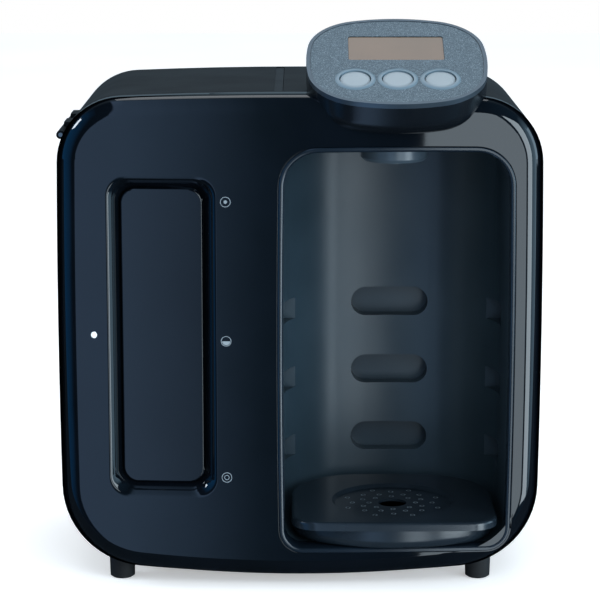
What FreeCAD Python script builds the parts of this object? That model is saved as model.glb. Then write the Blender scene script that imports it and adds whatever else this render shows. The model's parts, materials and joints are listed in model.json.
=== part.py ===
import FreeCAD, Part
import math
import os
import re
import Sketcher

# A baby formula maker: a countertop unit with a cold water tank on the left, a bottle bay on
# the right and a tilted control pod on top. X is right, Y is back, Z is up, in millimetres.
# The origin is on the table under the middle of the unit.

Vector = FreeCAD.Vector
Rotation = FreeCAD.Rotation
Placement = FreeCAD.Placement
X_AXIS = Vector(1, 0, 0)
Y_AXIS = Vector(0, 1, 0)
Z_AXIS = Vector(0, 0, 1)

# Driving dimensions
SIZES = {
    # casing
    "body_width": 280.0,
    "body_height": 284.0,
    "body_depth": 175.0,
    "body_lift": 7.0,
    "side_crown": 6000.0,
    "base_crown": 1000.0,
    "roof_crown": 2500.0,
    "base_corner": 50.0,
    "roof_corner": 38.0,
    "face_bulge": 1300.0,
    "front_roll": 11.0,
    "rear_roll": 6.0,
    "wall": 2.5,
    "seam": 0.3,
    "fascia_depth": 18.0,
    "lip_overlap": 5.0,
    "lip_wall": 1.5,
    "base_half": 118.0,
    "base_rise": 24.0,
    # feet
    "foot_spread": 106.0,
    "foot_inset": 28.0,
    "foot_radius": 8.0,
    "foot_tread": 6.8,
    "foot_chamfer": 2.0,
    # bottle bay
    "bay_offset": 55.5,
    "bay_width": 131.0,
    "bay_height": 233.0,
    "bay_floor": 25.5,
    "bay_depth": 115.0,
    "bay_low_corner": 11.0,
    "bay_high_corner": 20.0,
    "bay_rear_corner": 46.0,
    "bay_back_crown": 150.0,
    "bay_floor_crown": 60000.0,
    "bay_roof_crown": 2500.0,
    "bay_wall": 2.0,
    "rim_width": 3.0,
    "rim_proud": 0.6,
    "rim_depth": 14.0,
    "slot_width": 47.5,
    "slot_height": 18.0,
    "slot_depth": 10.0,
    "slot_low": 64.5,
    "slot_pitch": 43.0,
    "slot_wall": 1.5,
    "notch_height": 13.0,
    "notch_width": 26.0,
    "notch_inner": 53.0,
    "notch_outer": 70.0,
    "notch_rear": 92.0,
    # tank window in the fascia
    "window_offset": -79.5,
    "window_width": 62.0,
    "window_height": 188.0,
    "window_low": 56.0,
    "window_corner": 11.5,
    "window_corner_step": 3.5,
    "window_bezel": 8.0,
    "window_brink": 3.0,
    "window_depth": 11.0,
    "lens_wall": 2.0,
    "lens_crown": 1.0,
    "lens_lap": 3.0,
    "lamp_offset": -118.7,
    "lamp_height": 151.8,
    "lamp_radius": 1.9,
    "lamp_length": 8.0,
    # water tank
    "tank_width": 98.0,
    "tank_left": -124.0,
    "tank_front": 16.0,
    "tank_length": 112.0,
    "tank_bottom": 50.0,
    "tank_height": 205.0,
    "tank_corner": 12.0,
    "tank_wall": 2.0,
    "outlet_inset": 12.0,
    "outlet_stem": 3.0,
    "outlet_flange": 2.0,
    "outlet_seal": 0.8,
    "tank_rib_left": 13.0,
    "tank_rib_right": 2.5,
    # tank lid and its hinge
    "lid_front": 24.0,
    "lid_rear": 10.0,
    "lid_low": 268.0,
    "grip_width": 5.0,
    "grip_drop": 0.5,
    "hinge_height": 264.3,
    "hinge_inset": 1.1,
    "hinge_front": 34.0,
    "hinge_arm": 5.5,
    "hinge_pin_radius": 1.25,
    "hinge_barrel_radius": 2.5,
    "hinge_play": 0.05,
    "hinge_length": 105.0,
    "knuckle_gap": 0.4,
    # control pod
    "pod_width": 104.0,
    "pod_length": 95.0,
    "pod_side_crown": 120.0,
    "pod_end_crown": 110.0,
    "pod_corner": 34.0,
    "pod_tilt": 25.5,
    "pod_overhang": 15.0,
    "pod_rise": 17.0,
    "pod_depth": 26.0,
    "pod_roll": 14.0,
    "pod_wall": 3.6,
    "pod_rim_width": 2.2,
    "pod_rim_height": 3.0,
    "face_step": 0.3,
    "neck_width": 84.0,
    "neck_length": 56.0,
    "neck_centre": 44.0,
    "neck_corner": 22.0,
    # display and buttons
    "screen_width": 55.0,
    "screen_height": 26.5,
    "screen_corner": 1.5,
    "screen_up": 14.5,
    "screen_sink": 0.5,
    "module_margin": 3.0,
    "button_pitch": 24.2,
    "button_down": 20.0,
    "button_radius": 8.5,
    "button_height": 6.5,
    "button_flange": 1.2,
    "button_dome": 0.6,
    "button_sink": 0.2,
    "button_gap": 0.6,
    "button_ring_width": 2.6,
    "button_ring_proud": 0.4,
    "switch_side": 6.0,
    "switch_height": 2.1,
    "board_wall": 1.6,
    "board_drop": 10.0,
    "board_inset": 7.0,
    "pod_post_across": 41.5,
    "pod_post_along": 12.0,
    "pod_post_radius": 2.5,
    # filter holder in the bay roof
    "holder_depth": 55.0,
    "holder_radius": 19.8,
    "holder_low": 247.0,
    "holder_height": 27.0,
    "holder_wall": 2.2,
    "holder_play": 0.5,
    "lug_height": 3.0,
    "lug_reach": 1.8,
    "lug_low": 268.0,
    "twist_angle": 35.0,
    "spout_radius": 3.0,
    "spout_drop": 2.0,
    "filter_radius": 16.5,
    "filter_height": 19.0,
    "filter_bore": 2.0,
    "socket_wall": 2.5,
    "socket_headroom": 5.0,
    "socket_cap": 2.0,
    # bottle stand and drip cover
    "stand_proud": 6.0,
    "stand_width": 121.0,
    "stand_length": 111.0,
    "stand_height": 11.5,
    "stand_gap": 0.3,
    "stand_wall": 2.0,
    "stand_floor": 2.0,
    "stand_roll": 6.0,
    "stand_front_crown": 95.0,
    "stand_rear_crown": 400.0,
    "stand_front_corner": 32.0,
    "stand_rear_corner": 44.0,
    "hook_width": 42.0,
    "hook_height": 8.0,
    "hook_reach": 5.0,
    "cover_height": 5.0,
    "cover_roll": 2.0,
    "cover_plug": 2.5,
    "cover_hollow": 1.5,
    "cover_front_corner": 17.0,
    "cover_front_crown": 900.0,
    "dish_radius": 36.5,
    "dish_depth": 2.0,
    "dish_centre": 45.0,
    "drain_radius": 8.5,
    "drip_radius": 1.1,
    "drip_first": 14.0,
    "drip_step": 5.0,
    "drip_rings": 4.0,
    "drips_in_ring": 8.0,
    # pump under the tank
    "pump_depth": 70.0,
    "pump_height": 31.0,
    "pump_right": -54.6,
    "pump_radius": 14.5,
    "pump_length": 20.0,
    "pump_wall": 2.0,
    "rotor_radius": 11.8,
    "rotor_gap": 0.5,
    "rotor_hub": 4.0,
    "vane_wall": 1.5,
    "vane_count": 6.0,
    "shaft_radius": 1.5,
    "shaft_play": 0.05,
    "motor_radius": 13.5,
    "motor_length": 31.0,
    "motor_bore": 22.0,
    "cradle_wall": 3.0,
    "cradle_width": 34.0,
    # boiler, valve and hoses behind the bay
    "boiler_offset": 98.0,
    "boiler_back": 31.0,
    "boiler_radius": 24.0,
    "boiler_low": 62.0,
    "boiler_height": 130.0,
    "boiler_wall": 1.5,
    "boiler_chamfer": 4.5,
    "heater_radius": 3.5,
    "heater_spread": 7.0,
    "heater_length": 100.0,
    "thermostat_radius": 7.0,
    "thermostat_height": 5.0,
    "strap_height": 12.0,
    "strap_wall": 1.2,
    "valve_side": 24.0,
    "valve_low": 222.0,
    "valve_height": 26.0,
    "coil_radius": 8.6,
    "coil_length": 12.0,
    "bracket_wall": 4.0,
    "hose_radius": 4.0,
    "hose_bore": 2.5,
    "spigot_bore": 1.5,
    "spigot_length": 6.0,
    "hose_bend": 10.0,
    "hot_height": 276.5,
    # electronics and the cord gland
    "main_board_width": 90.0,
    "main_board_height": 120.0,
    "main_board_low": 95.0,
    "main_board_offset": -32.0,
    "power_board_width": 80.0,
    "power_board_height": 90.0,
    "power_board_low": 70.0,
    "power_board_offset": -124.0,
    "board_stand_off": 8.0,
    "board_post_radius": 3.0,
    "board_post_inset": 6.0,
    "transformer_width": 34.0,
    "transformer_height": 30.0,
    "transformer_depth": 18.0,
    "transformer_rise": 34.0,
    "relay_width": 22.0,
    "relay_height": 16.0,
    "relay_depth": 15.0,
    "relay_rise": 60.0,
    "gland_offset": -100.0,
    "gland_height": 40.0,
    "gland_radius": 7.0,
    "gland_flange": 9.5,
    "gland_flange_wall": 1.5,
    "gland_length": 9.0,
    "gland_bore": 3.6,
    # fasteners
    "screw_offset": 70.0,
    "screw_back": 16.0,
    "base_screw_low": 9.2,
    "screw_radius": 1.5,
    "screw_play": 0.2,
    "screw_head_radius": 3.0,
    "screw_head_height": 1.8,
    "screw_length": 12.0,
    "board_screw_length": 7.0,
    "post_radius": 4.0,
    "post_low": 12.6,
    "post_height": 18.0,
}

document = FreeCAD.newDocument("formula_maker")
sheet = document.addObject("Spreadsheet::Sheet", "sizes")
for row, (name, value) in enumerate(SIZES.items(), start=1):
    sheet.set(f"A{row}", name)
    sheet.set(f"B{row}", str(value))
    sheet.setAlias(f"B{row}", name)
document.recompute()

SUBPARTS = []

# Places, as expressions over the sheet

FRONT = "(pod_overhang - body_depth) / 2"
REAR = f"({FRONT} + body_depth)"
TOP = "(body_lift + body_height)"
BAY_LEFT = "(bay_offset - bay_width / 2)"
BAY_TOP = "(bay_floor + bay_height)"
BAY_BACK = f"({FRONT} + bay_depth)"
POD_Y = f"({FRONT} - pod_overhang + pod_length / 2 * cos(pod_tilt))"
POD_Z = f"({TOP} + pod_rise)"
HOLDER_Y = f"({FRONT} + holder_depth)"
HOLDER_TOP = "(holder_low + holder_height)"
SOCKET_RADIUS = "(holder_radius + holder_play)"
SOCKET_OUTER = f"({SOCKET_RADIUS} + lug_reach + socket_wall)"
STAND_LOW = "(bay_floor + stand_gap)"
STAND_TOP = f"({STAND_LOW} + stand_height)"
STAND_FRONT = f"({FRONT} - stand_proud)"
STAND_REAR = f"({STAND_FRONT} + stand_length)"
TANK_RIGHT = "(tank_left + tank_width)"
TANK_FRONT = f"({FRONT} + tank_front)"
OUTLET_X = f"({TANK_RIGHT} - outlet_inset)"
PUMP_Y = f"({FRONT} + pump_depth)"
PUMP_LEFT = "(pump_right - pump_length)"
BOILER_Y = f"({REAR} - boiler_back)"
BOILER_TOP = "(boiler_low + boiler_height)"
VALVE_TOP = "(valve_low + valve_height)"
BOARD_Y = f"({REAR} - wall - board_stand_off - board_wall)"
BUTTON_TOP = "(button_ring_proud - face_step - button_sink)"
HINGE_X = "(hinge_inset - body_width / 2)"
HINGE_Y = f"({FRONT} + hinge_front)"
KNUCKLE = "(hinge_length / 5)"


# Expressions over the sheet


def link(expression):
    """The expression as FreeCAD reads it, with each size named in the sheet."""

    def named(word):
        return f"sizes.{word[0]}" if word[0] in SIZES else word[0]

    return re.sub(r"[a-z][a-z_]+", named, expression)


def mm(expression):
    """The value of an expression over the sheet."""
    return float(sheet.evalExpression(link(expression)))


# Document objects bound to the sheet


def keep(obj, label):
    """Marks an object as a sub-part, and names it."""
    obj.Label = label
    SUBPARTS.append(obj)
    return obj


def shaped(label, shape):
    """A sub-part whose shape is worked out in code."""
    obj = document.addObject("Part::Feature", label)
    obj.Shape = shape
    return keep(obj, label)


def locate(obj, at, rotation=None):
    """Binds an object's place to the sheet, and turns it."""
    if rotation:
        obj.Placement = Placement(Vector(), rotation)
    for letter, expression in zip("xyz", at):
        obj.setExpression(f"Placement.Base.{letter}", link(expression))
    return obj


def tilt_with_pod(obj, x, y, z):
    """Places an object by the pod's own axes: y runs up the face and z stands out of it."""
    obj.Placement = Placement(Vector(), Rotation(X_AXIS, 1))
    obj.setExpression("Placement.Rotation.Angle", link("pod_tilt"))
    up = f"{POD_Y} + ({y}) * cos(pod_tilt) - ({z}) * sin(pod_tilt)"
    out = f"{POD_Z} + ({y}) * sin(pod_tilt) + ({z}) * cos(pod_tilt)"
    return locate(obj, (f"bay_offset + ({x})", up, out))


def box(name, width, depth, height, at):
    """A box with its low corner at a place."""
    obj = document.addObject("Part::Box", name)
    for side, expression in (("Length", width), ("Width", depth), ("Height", height)):
        obj.setExpression(side, link(expression))
    return locate(obj, at)


def rod(name, radius, length, at, direction=Z_AXIS):
    """A cylinder that starts at a place and runs along a direction."""
    obj = document.addObject("Part::Cylinder", name)
    obj.setExpression("Radius", link(radius))
    obj.setExpression("Height", link(length))
    return locate(obj, at, Rotation(Z_AXIS, direction))


def ring(name, radius, wire, at):
    """A torus lying flat, such as a seal."""
    obj = document.addObject("Part::Torus", name)
    obj.setExpression("Radius1", link(radius))
    obj.setExpression("Radius2", link(wire))
    return locate(obj, at)


def fuse(name, *shapes):
    """The union of several objects."""
    obj = document.addObject("Part::MultiFuse", name)
    obj.Shapes = list(shapes)
    return obj


def cut(name, base, *tools):
    """An object with the tools taken out of it."""
    obj = document.addObject("Part::Cut", name)
    obj.Base = base
    obj.Tool = tools[0] if len(tools) == 1 else fuse(f"{name}_tools", *tools)
    return obj


def polygon_sketch(body, plane, points):
    """A closed polygon on one of the body's own planes, each corner bound to the sheet."""
    sketch = body.newObject("Sketcher::SketchObject", "outline")
    origin_plane = next(item for item in body.Origin.OriginFeatures if item.Role == plane)
    sketch.AttachmentSupport = (origin_plane, "")
    sketch.MapMode = "FlatFace"
    corners = [Vector(mm(across), mm(along), 0) for across, along in points]
    count = len(corners)
    for index in range(count):
        sketch.addGeometry(Part.LineSegment(corners[index], corners[(index + 1) % count]), False)
    for index in range(count):
        sketch.addConstraint(Sketcher.Constraint("Coincident", index, 2, (index + 1) % count, 1))
    for index, (across, along) in enumerate(points):
        for kind, expression in (("DistanceX", across), ("DistanceY", along)):
            distance = Sketcher.Constraint(kind, -1, 1, index, 1, mm(expression))
            number = sketch.addConstraint(distance)
            sketch.setExpression(f"Constraints[{number}]", link(expression))
    return sketch


def turned(name, profile):
    """A piece turned about its own Z axis from a profile of radius and height pairs."""
    body = document.addObject("PartDesign::Body", name)
    sketch = polygon_sketch(body, "XZ_Plane", profile)
    revolution = body.newObject("PartDesign::Revolution", "turned")
    revolution.Profile = sketch
    revolution.ReferenceAxis = (sketch, ["V_Axis"])
    revolution.Angle = 360
    return body


def slab(name, width, depth, height, corner):
    """A flat block with round upright corners, its low corner at the body's origin."""
    body = document.addObject("PartDesign::Body", name)
    sketch = polygon_sketch(body, "XY_Plane", [("0", "0"), (width, "0"), (width, depth), ("0", depth)])
    pad = body.newObject("PartDesign::Pad", "pad")
    pad.Profile = sketch
    pad.setExpression("Length", link(height))
    document.recompute()
    upright = [
        f"Edge{number}"
        for number, edge in enumerate(pad.Shape.Edges, start=1)
        if abs(edge.tangentAt(edge.FirstParameter).z) > 0.9
    ]
    fillet = body.newObject("PartDesign::Fillet", "corners")
    fillet.Base = (pad, upright)
    fillet.setExpression("Radius", link(corner))
    return body


# Outlines


def corner_centre(side_centre, side_reach, end_centre, end_reach, upward):
    """Where two circles cross on the outer side: the centre of a corner arc between two crowns."""
    gap = end_centre - side_centre
    along = (side_reach**2 - end_reach**2 + gap.Length**2) / (2 * gap.Length)
    across = math.sqrt(side_reach**2 - along**2)
    unit = gap.normalize()
    square = Vector(-unit.y, unit.x, 0)
    foot = side_centre + unit * along
    ends = (foot + square * across, foot - square * across)
    return max(ends, key=lambda point: point.x + upward * point.y)


def soft_outline(half_width, low, high, side_crown, low_crown, high_crown, low_corner, high_corner):
    """A closed outline of eight tangent arcs: four crowned sides and four round corners."""
    side_centre = Vector(half_width - side_crown, (low + high) / 2, 0)
    side_point = Vector(half_width, (low + high) / 2, 0)
    ends = (
        (Vector(0, low + low_crown, 0), low_crown, low_corner, Vector(0, low, 0), -1),
        (Vector(0, high - high_crown, 0), high_crown, high_corner, Vector(0, high, 0), 1),
    )
    corners = []
    for end_centre, end_crown, corner, end_point, upward in ends:
        centre = corner_centre(side_centre, side_crown - corner, end_centre, end_crown - corner, upward)
        from_side = (centre - side_centre).normalize()
        from_end = (centre - end_centre).normalize()
        middle = (from_side + from_end).normalize()
        at_side = centre + from_side * corner
        at_end = centre + from_end * corner
        corners.append((at_side, centre + middle * corner, at_end, end_point))
    (low_side, low_middle, low_end, low_point), (high_side, high_middle, high_end, high_point) = corners
    mirror = [Vector(-point.x, point.y, 0) for point in (low_side, low_middle, low_end)]
    high_mirror = [Vector(-point.x, point.y, 0) for point in (high_side, high_middle, high_end)]
    arcs = (
        (low_side, side_point, high_side),
        (high_side, high_middle, high_end),
        (high_end, high_point, high_mirror[2]),
        (high_mirror[2], high_mirror[1], high_mirror[0]),
        (high_mirror[0], Vector(-side_point.x, side_point.y, 0), mirror[0]),
        (mirror[0], mirror[1], mirror[2]),
        (mirror[2], low_point, low_end),
        (low_end, low_middle, low_side),
    )
    return Part.Wire([Part.Arc(*points).toShape() for points in arcs])


def rounded_rectangle(width, height, corner):
    """A rectangle with round corners about the origin of the XY plane."""
    across = width / 2 - corner
    along = height / 2 - corner
    diagonal = corner * math.sqrt(0.5)
    edges = []
    for right, up in ((1, 1), (-1, 1), (-1, -1), (1, -1)):
        centre = Vector(right * across, up * along, 0)
        side = centre + Vector(right * corner, 0, 0)
        end = centre + Vector(0, up * corner, 0)
        middle = centre + Vector(right * diagonal, up * diagonal, 0)
        first, last = (side, end) if right * up > 0 else (end, side)
        edges.append((first, middle, last))
    wires = []
    for index, (first, middle, last) in enumerate(edges):
        wires.append(Part.Arc(first, middle, last).toShape())
        wires.append(Part.LineSegment(last, edges[(index + 1) % 4][0]).toShape())
    return Part.Wire(wires)


def placed(shape, place):
    """A copy of a shape, moved as a whole."""
    moved = shape.copy()
    moved.Placement = place.multiply(moved.Placement)
    return moved


def upright(wire, x, y, z):
    """Stands a flat outline up, facing the front, with its origin at a place."""
    return placed(wire, Placement(Vector(x, y, z), Rotation(X_AXIS, 90)))


def run_back(wire, length):
    """A solid that runs back from an upright outline."""
    return Part.Face(wire).extrude(Vector(0, length, 0))


def shell_box(left, right, front, rear, low, high):
    """A plain box between limits along X, Y and Z."""
    return Part.makeBox(right - left, rear - front, high - low, Vector(left, front, low))


# Casing


def body_block(inset):
    """The whole casing as a solid, its surface moved in by a distance."""
    outline = soft_outline(
        mm("body_width / 2") - inset,
        mm("body_lift") + inset,
        mm(TOP) - inset,
        mm("side_crown") - inset,
        mm("base_crown") - inset,
        mm("roof_crown") - inset,
        mm("base_corner") - inset,
        mm("roof_corner") - inset,
    )
    ahead = mm("face_bulge / 20")
    start = mm(FRONT) - ahead
    block = run_back(upright(outline, 0, start, 0), mm(REAR) - inset - start)
    radius = mm("face_bulge") - inset
    foot = Vector(0, mm(f"{FRONT} + face_bulge"), mm(f"-{TOP} / 2"))
    bulge = Part.makeCylinder(radius, mm(f"{TOP} * 2"), foot)
    block = block.common(bulge)
    face = min(block.Faces, key=lambda item: item.CenterOfMass.y)
    block = block.makeFillet(mm("front_roll") - inset, face.Edges)
    face = max(block.Faces, key=lambda item: item.CenterOfMass.y)
    return block.makeFillet(mm("rear_roll") - inset, face.Edges)


def everywhere_before(limit):
    """A large box that holds all that is nearer than a Y limit."""
    reach = mm("body_width")
    return shell_box(-reach, reach, mm(FRONT) - reach, limit, -reach, 2 * reach)


def bay_prism(grow, front, rear):
    """The mouth of the bottle bay, run straight back between two Y limits."""
    outline = soft_outline(
        mm("bay_width / 2") + grow,
        mm("bay_floor") - grow,
        mm(BAY_TOP) + grow,
        mm("side_crown") + grow,
        mm("bay_floor_crown") + grow,
        mm("bay_roof_crown") + grow,
        mm("bay_low_corner") + grow,
        mm("bay_high_corner") + grow,
    )
    return run_back(upright(outline, mm("bay_offset"), front, 0), rear - front)


def window_recess(grow):
    """The tank window's recess: a straight mouth, then a bezel that narrows as it goes in."""
    wide = (mm("window_width") + 2 * grow, mm("window_height") + 2 * grow, mm("window_corner") + grow)
    slope = mm("window_bezel")
    narrow = (wide[0] - 2 * slope, wide[1] - 2 * slope, wide[2] - mm("window_corner_step"))
    x = mm("window_offset")
    z = mm("window_low + window_height / 2")
    mouth = mm(f"{FRONT} - window_bezel")
    brink = mm(f"{FRONT} + window_brink")
    floor = mm(f"{FRONT} + window_depth")
    outer = upright(rounded_rectangle(*wide), x, brink, z)
    inner = upright(rounded_rectangle(*narrow), x, floor, z)
    straight = run_back(upright(rounded_rectangle(*wide), x, mouth, z), brink - mouth)
    return straight.fuse(Part.makeLoft([outer, inner], True, True))


def lid_region(grow):
    """The space of the tank lid and its grip, from the roof down the left side."""
    reach = mm("body_width")
    return shell_box(
        -reach,
        mm(BAY_LEFT) + grow,
        mm(f"{FRONT} + lid_front") - grow,
        mm(f"{REAR} - lid_rear") + grow,
        mm("lid_low") - grow,
        reach * 2,
    )


def base_region(shrink):
    """The space of the base plate, between the curved ends of the casing's underside."""
    return shell_box(
        mm("-base_half") + shrink,
        mm("base_half") - shrink,
        mm(f"{FRONT} + fascia_depth + seam"),
        mm(f"{REAR} - rear_roll - wall") - shrink,
        -mm("body_lift"),
        mm("base_rise"),
    )


def casing():
    """Front fascia, rear housing and base plate, all cut from one wall round the casing."""
    outside = body_block(0)
    inside = body_block(mm("wall"))
    wall = outside.cut(inside)
    pocket = pod_block(-mm("seam")).fuse(pod_neck(mm("pod_wall")))
    shaped("front_fascia", fascia_shape(outside, inside, wall, pocket))
    shaped("rear_housing", housing_shape(wall, pocket))
    shaped("base_plate", base_shape(wall))


def fascia_shape(outside, inside, wall, pocket):
    """The fascia with its inner lip, its window bezel and the openings through it."""
    seam_front = mm(f"{FRONT} + fascia_depth")
    overlap = mm("lip_overlap")
    lip_outer = body_block(mm("wall + seam"))
    lip_inner = body_block(mm("wall + seam + lip_wall"))
    behind = everywhere_before(seam_front - overlap)
    lip = lip_outer.cut(lip_inner).common(everywhere_before(seam_front + overlap).cut(behind))
    bridge = inside.cut(lip_outer).common(everywhere_before(seam_front).cut(behind))
    fascia = wall.common(everywhere_before(seam_front)).fuse([lip, bridge])
    fascia = fascia.fuse(window_recess(mm("wall")).common(outside))
    opening = bay_prism(mm("rim_width"), mm(f"{FRONT} - rim_depth"), mm(BAY_BACK))
    lamp_place = Vector(mm("lamp_offset"), mm(FRONT), mm("lamp_height"))
    lamp_hole = Part.makeCylinder(mm("lamp_radius"), mm("body_depth / 4"), lamp_place, Y_AXIS)
    return fascia.cut([window_recess(0), opening, pocket, lamp_hole]).removeSplitter()


def housing_shape(wall, pocket):
    """The housing with its screw posts, the cord gland's hole and its share of the lid hinge."""
    housing = wall.cut(everywhere_before(mm(f"{FRONT} + fascia_depth + seam")))
    housing = housing.cut([base_region(0), lid_region(mm("seam")), pocket])
    half = mm("wall / 2")
    low = mm("post_low")
    height = mm("post_height")
    for side in (-1, 1):
        x = side * mm("screw_offset")
        y = mm(f"{REAR} - screw_back")
        foot = Vector(x, y, low)
        rear = mm(f"{REAR} - wall / 2")
        rib = shell_box(x - half, x + half, y, rear, mm("base_rise + seam"), low + height)
        post = Part.makeCylinder(mm("post_radius"), height, foot).fuse(rib)
        housing = housing.fuse(post).cut(Part.makeCylinder(mm("screw_radius"), height, foot))
    gland_place = Vector(mm("gland_offset"), mm(f"{REAR} - wall * 2"), mm("gland_height"))
    housing = housing.cut(Part.makeCylinder(mm("gland_radius"), mm("wall * 4"), gland_place, Y_AXIS))

    reach = mm("hinge_barrel_radius + knuckle_gap")
    height = mm("hinge_height")
    left = mm(HINGE_X)
    right = mm(f"{HINGE_X} + hinge_arm")
    length = mm(KNUCKLE)
    for start in knuckle_starts(1):
        ahead = start + length
        notch_right = right + mm("knuckle_gap")
        notch = shell_box(left - reach, notch_right, start, ahead, height - reach, mm("lid_low"))
        housing = housing.cut(notch)
    for start in knuckle_starts(0):
        low = height - mm("hinge_barrel_radius")
        web = shell_box(left, right - mm("wall"), start, start + length, low, height)
        housing = housing.fuse([hinge_rod(mm("hinge_barrel_radius"), start, length), web])
    housing = housing.cut(hinge_rod(mm("hinge_pin_radius"), mm(HINGE_Y), mm("hinge_length")))
    return housing.removeSplitter()


def base_shape(wall):
    """The base plate, with two ribs that carry the tank and holes for the screws."""
    base = wall.common(base_region(mm("seam")))
    half = mm("wall / 2")
    front = mm(f"{TANK_FRONT} + tank_corner")
    rear = mm(f"{TANK_FRONT} + tank_length - tank_corner")
    ribs = []
    for x in (mm("tank_left + tank_rib_left"), mm(f"{TANK_RIGHT} - tank_rib_right")):
        rib = shell_box(x - half, x + half, front, rear, 0, mm("tank_bottom"))
        ribs.append(rib.common(body_block(half)))
    base = base.fuse(ribs)
    for side in (-1, 1):
        spot = Vector(side * mm("screw_offset"), mm(f"{REAR} - screw_back"), 0)
        base = base.cut(Part.makeCylinder(mm("screw_radius + screw_play"), mm("base_rise * 2"), spot))
    return base.removeSplitter()


# Tank lid and its hinge: five knuckles along the left edge, the lid's between the housing's


def knuckle_starts(first):
    """Where every second knuckle of the five starts along the hinge."""
    return [mm(HINGE_Y) + index * mm(KNUCKLE) for index in range(first, 5, 2)]


def hinge_rod(radius, start, length):
    """A cylinder on the hinge's axis."""
    return Part.makeCylinder(radius, length, Vector(mm(HINGE_X), start, mm("hinge_height")), Y_AXIS)


def lid():
    """Tank lid, the grip at its right end and the hinge pin."""
    wall = body_block(0).cut(body_block(mm("wall")))
    grip_left = mm(f"{BAY_LEFT} - grip_width")
    cover = wall.common(lid_region(0))
    reach = mm("body_width")
    depth = mm("body_depth")
    height = mm(f"{TOP} * 2")
    cover = cover.cut(shell_box(grip_left, reach, -depth, depth, 0, height))
    barrels = []
    left = mm(HINGE_X)
    right = mm(f"{HINGE_X} + hinge_arm")
    length = mm(f"{KNUCKLE} - knuckle_gap * 2")
    for start in knuckle_starts(1):
        front = start + mm("knuckle_gap")
        arm = shell_box(left, right, front, front + length, mm("hinge_height"), mm("lid_low + wall / 2"))
        barrels.append(hinge_rod(mm("hinge_barrel_radius"), front, length).fuse(arm))
    pin_hole = hinge_rod(mm("hinge_pin_radius + hinge_play"), mm(HINGE_Y), mm("hinge_length"))
    cover = cover.fuse(barrels).cut(pin_hole)
    shaped("tank_lid", cover.removeSplitter())

    grip_wall = body_block(mm("grip_drop")).cut(body_block(mm("wall")))
    grip = grip_wall.common(lid_region(0))
    grip = grip.cut(shell_box(-reach, grip_left, -depth, depth, 0, height))
    shaped("lid_grip", grip)

    pin = rod("hinge_pin", "hinge_pin_radius", "hinge_length", (HINGE_X, HINGE_Y, "hinge_height"), Y_AXIS)
    keep(pin, "lid_hinge_pin")


# Feet


def feet():
    """Four tapered rubber feet that follow the casing's underside at the top."""
    block = document.addObject("Part::Feature", "casing_block")
    block.Shape = body_block(0)
    profile = [
        ("0", "0"),
        ("foot_tread - foot_chamfer / 2", "0"),
        ("foot_tread + foot_chamfer / 4", "foot_chamfer / 2"),
        ("foot_radius", "base_rise"),
        ("foot_radius", "base_rise * 2"),
        ("0", "base_rise * 2"),
    ]
    rows = (("front", f"{FRONT} + foot_inset"), ("rear", f"{REAR} - foot_inset"))
    for row, y in rows:
        for side, sign in (("left", "-"), ("right", "")):
            stem = turned(f"foot_blank_{row}_{side}", profile)
            locate(stem, (f"{sign}foot_spread", y, "0"))
            keep(cut(f"foot_{row}_{side}_cut", stem, block), f"foot_{row}_{side}")


# Bottle bay


def bay_space(grow):
    """The inside of the bay's liner: the mouth's section run back to a rounded rear wall."""
    start = mm(f"{FRONT} - rim_depth * 2")
    rear = mm(BAY_BACK) + grow
    flat = mm("bay_floor_crown")
    plan = soft_outline(
        mm("bay_width / 2 + seam") + grow,
        start - mm("rim_depth"),
        rear,
        flat,
        flat,
        mm("bay_back_crown") + grow,
        mm("rim_width"),
        mm("bay_rear_corner") + grow,
    )
    plan.translate(Vector(mm("bay_offset"), 0, 0))
    tower = Part.Face(plan).extrude(Vector(0, 0, mm(f"{TOP} * 2")))
    return bay_prism(grow, start, rear + mm("rim_depth")).common(tower)


def slot_levels():
    """The heights of the three rows of slots."""
    return [mm("slot_low") + row * mm("slot_pitch") for row in range(3)]


def stadium(grow, level, front, rear):
    """A slot's section with half-round ends, run back between two Y limits."""
    height = mm("slot_height") + 2 * grow
    outline = rounded_rectangle(mm("slot_width") + 2 * grow, height, height / 2 - mm("seam") / 10)
    return run_back(upright(outline, mm("bay_offset"), front, level), rear - front)


def notch_boxes(grow, level):
    """The pair of side notches on one level, in the liner's rear corners."""
    half = mm("notch_height / 2") + grow
    boxes = []
    for side in (-1, 1):
        near = mm("bay_offset") + side * (mm("notch_inner") - grow)
        far = mm("bay_offset") + side * (mm("notch_outer") + grow)
        rear = mm(f"{FRONT} + notch_rear") + grow
        front = rear - mm("notch_width") - 2 * grow
        boxes.append(shell_box(min(near, far), max(near, far), front, rear, level - half, level + half))
    return boxes


def bay():
    """Bay liner with its slots and notches, and the thin rim round its mouth."""
    wall = mm("bay_wall")
    back = mm(BAY_BACK)
    space = bay_space(0)
    liner = bay_space(wall)
    pockets = []
    for level in slot_levels():
        slot_rear = back + mm("slot_depth + slot_wall")
        liner = liner.fuse([stadium(mm("slot_wall"), level, back - wall, slot_rear)])
        liner = liner.fuse(notch_boxes(mm("slot_wall"), level))
        pockets.append(stadium(0, level, back - mm("bay_rear_corner"), back + mm("slot_depth")))
        pockets.extend(notch_boxes(0, level))
    hole_foot = Vector(mm("bay_offset"), mm(HOLDER_Y), mm(f"{BAY_TOP} - bay_wall"))
    holder_hole = Part.makeCylinder(mm(SOCKET_RADIUS), mm("bay_wall * 3"), hole_foot)
    liner = liner.cut([space, *pockets, holder_hole, everywhere_before(mm(f"{FRONT} + rim_depth"))])
    shaped("bay_liner", liner.removeSplitter())

    front = mm(f"{FRONT} - rim_depth")
    rear = mm(f"{FRONT} + rim_depth")
    rim = bay_prism(mm("rim_width"), front, rear).cut(bay_prism(0, front, rear))
    shaped("bay_rim", rim.common(body_block(-mm("rim_proud"))))


# Tank window and the lamp beside it


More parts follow.
